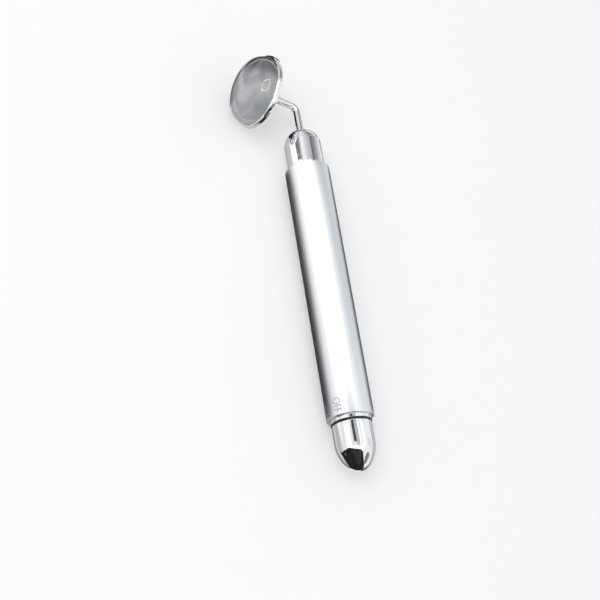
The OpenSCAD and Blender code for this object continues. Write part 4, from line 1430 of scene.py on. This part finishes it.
# %% [markdown]
# ## The lamp
# One wide soft lamp, above and to the left, models the stone and casts the soft shadow. A
# small one would draw a hard shadow beside the tube, which the photograph doesn't have.
# Mirrors don't see the lamp, because the cards already are what they show.

# %% Hang the lamp
KEY_PLACE = Vector((-0.45, 0.1, 0.95))
KEY_SIZE = 0.8
KEY_RADIANCE = 1.35
key_data = bpy.data.lights.new("key", "AREA")
key_data.shape = "SQUARE"
key_data.size = KEY_SIZE
key_data.energy = KEY_RADIANCE * pi * KEY_SIZE**2
key = bpy.data.objects.new("key", key_data)
key.location = KEY_PLACE
key.visible_glossy = False
key.rotation_euler = (-KEY_PLACE).to_track_quat("-Z", "Y").to_euler()
bpy.context.scene.collection.objects.link(key)
print("lamp:", round(key_data.energy, 2), "W over", KEY_SIZE, "m")

# %% [markdown]
# ## The surround
# The surround fills in from all sides. With one level it would either leave the chrome dull
# or bleach the pale surfaces, so it is dimmer as a light than it looks in a mirror or to the
# camera: the kind of ray chooses between two levels.

# %% Light the surround
SURROUND_LIGHT = 0.62
SURROUND_SEEN = 0.93
world = bpy.data.worlds.new("surround")
bpy.context.scene.world = world
world.use_nodes = True
tree = world.node_tree
background = tree.nodes["Background"]
background.inputs["Color"].default_value = (0.985, 0.99, 1.0, 1)
path = tree.nodes.new("ShaderNodeLightPath")
seen = path.outputs["Is Camera Ray"]
for ray in ("Is Glossy Ray", "Is Transmission Ray"):
    either = tree.nodes.new("ShaderNodeMath")
    either.operation = "MAXIMUM"
    tree.links.new(seen, either.inputs[0])
    tree.links.new(path.outputs[ray], either.inputs[1])
    seen = either.outputs[0]
level = tree.nodes.new("ShaderNodeMapRange")
level.inputs["To Min"].default_value = SURROUND_LIGHT
level.inputs["To Max"].default_value = SURROUND_SEEN
tree.links.new(seen, level.inputs["Value"])
tree.links.new(level.outputs["Result"], background.inputs["Strength"])
print("surround:", SURROUND_LIGHT, "as light,", SURROUND_SEEN, "as seen")

# %% [markdown]
# ## The camera
# The photograph looks down on the wand from the side of the cap. The lens follows from how
# fast the tube narrows towards the head. The camera is set by an aim point on the ground, a
# distance, and three angles, so that each can be understood and changed on its own.

# %% Place the camera
AZIMUTH = radians(-42.773)
ELEVATION = radians(58.64)
CAMERA_ROLL = radians(37.897)
DISTANCE = 0.45789
AIM = Vector((-0.012257, -0.00423, 0.0))
FOCAL_PIXELS = 1197.3
PICTURE_PIXELS = 600

camera_data = bpy.data.cameras.new("camera")
camera_data.sensor_width = 36.0
camera_data.lens = FOCAL_PIXELS / PICTURE_PIXELS * camera_data.sensor_width
camera_data.clip_start = 0.01
camera_data.clip_end = 20.0
camera = bpy.data.objects.new("camera", camera_data)
back = Vector((sin(AZIMUTH) * cos(ELEVATION), -cos(AZIMUTH) * cos(ELEVATION), sin(ELEVATION)))
level_right = Vector((cos(AZIMUTH), sin(AZIMUTH), 0))
level_up = back.cross(level_right)
right = level_right * cos(CAMERA_ROLL) + level_up * sin(CAMERA_ROLL)
up = back.cross(right)
turned = Matrix((right, up, back)).transposed().to_4x4()
camera.matrix_world = Matrix.Translation(AIM + back * DISTANCE) @ turned
bpy.context.scene.collection.objects.link(camera)
bpy.context.scene.camera = camera
bpy.context.scene.view_settings.view_transform = "Standard"
camera_place = [round(x, 3) for x in camera.matrix_world.translation]
print("lens:", round(camera_data.lens, 2), "mm; camera at", camera_place)
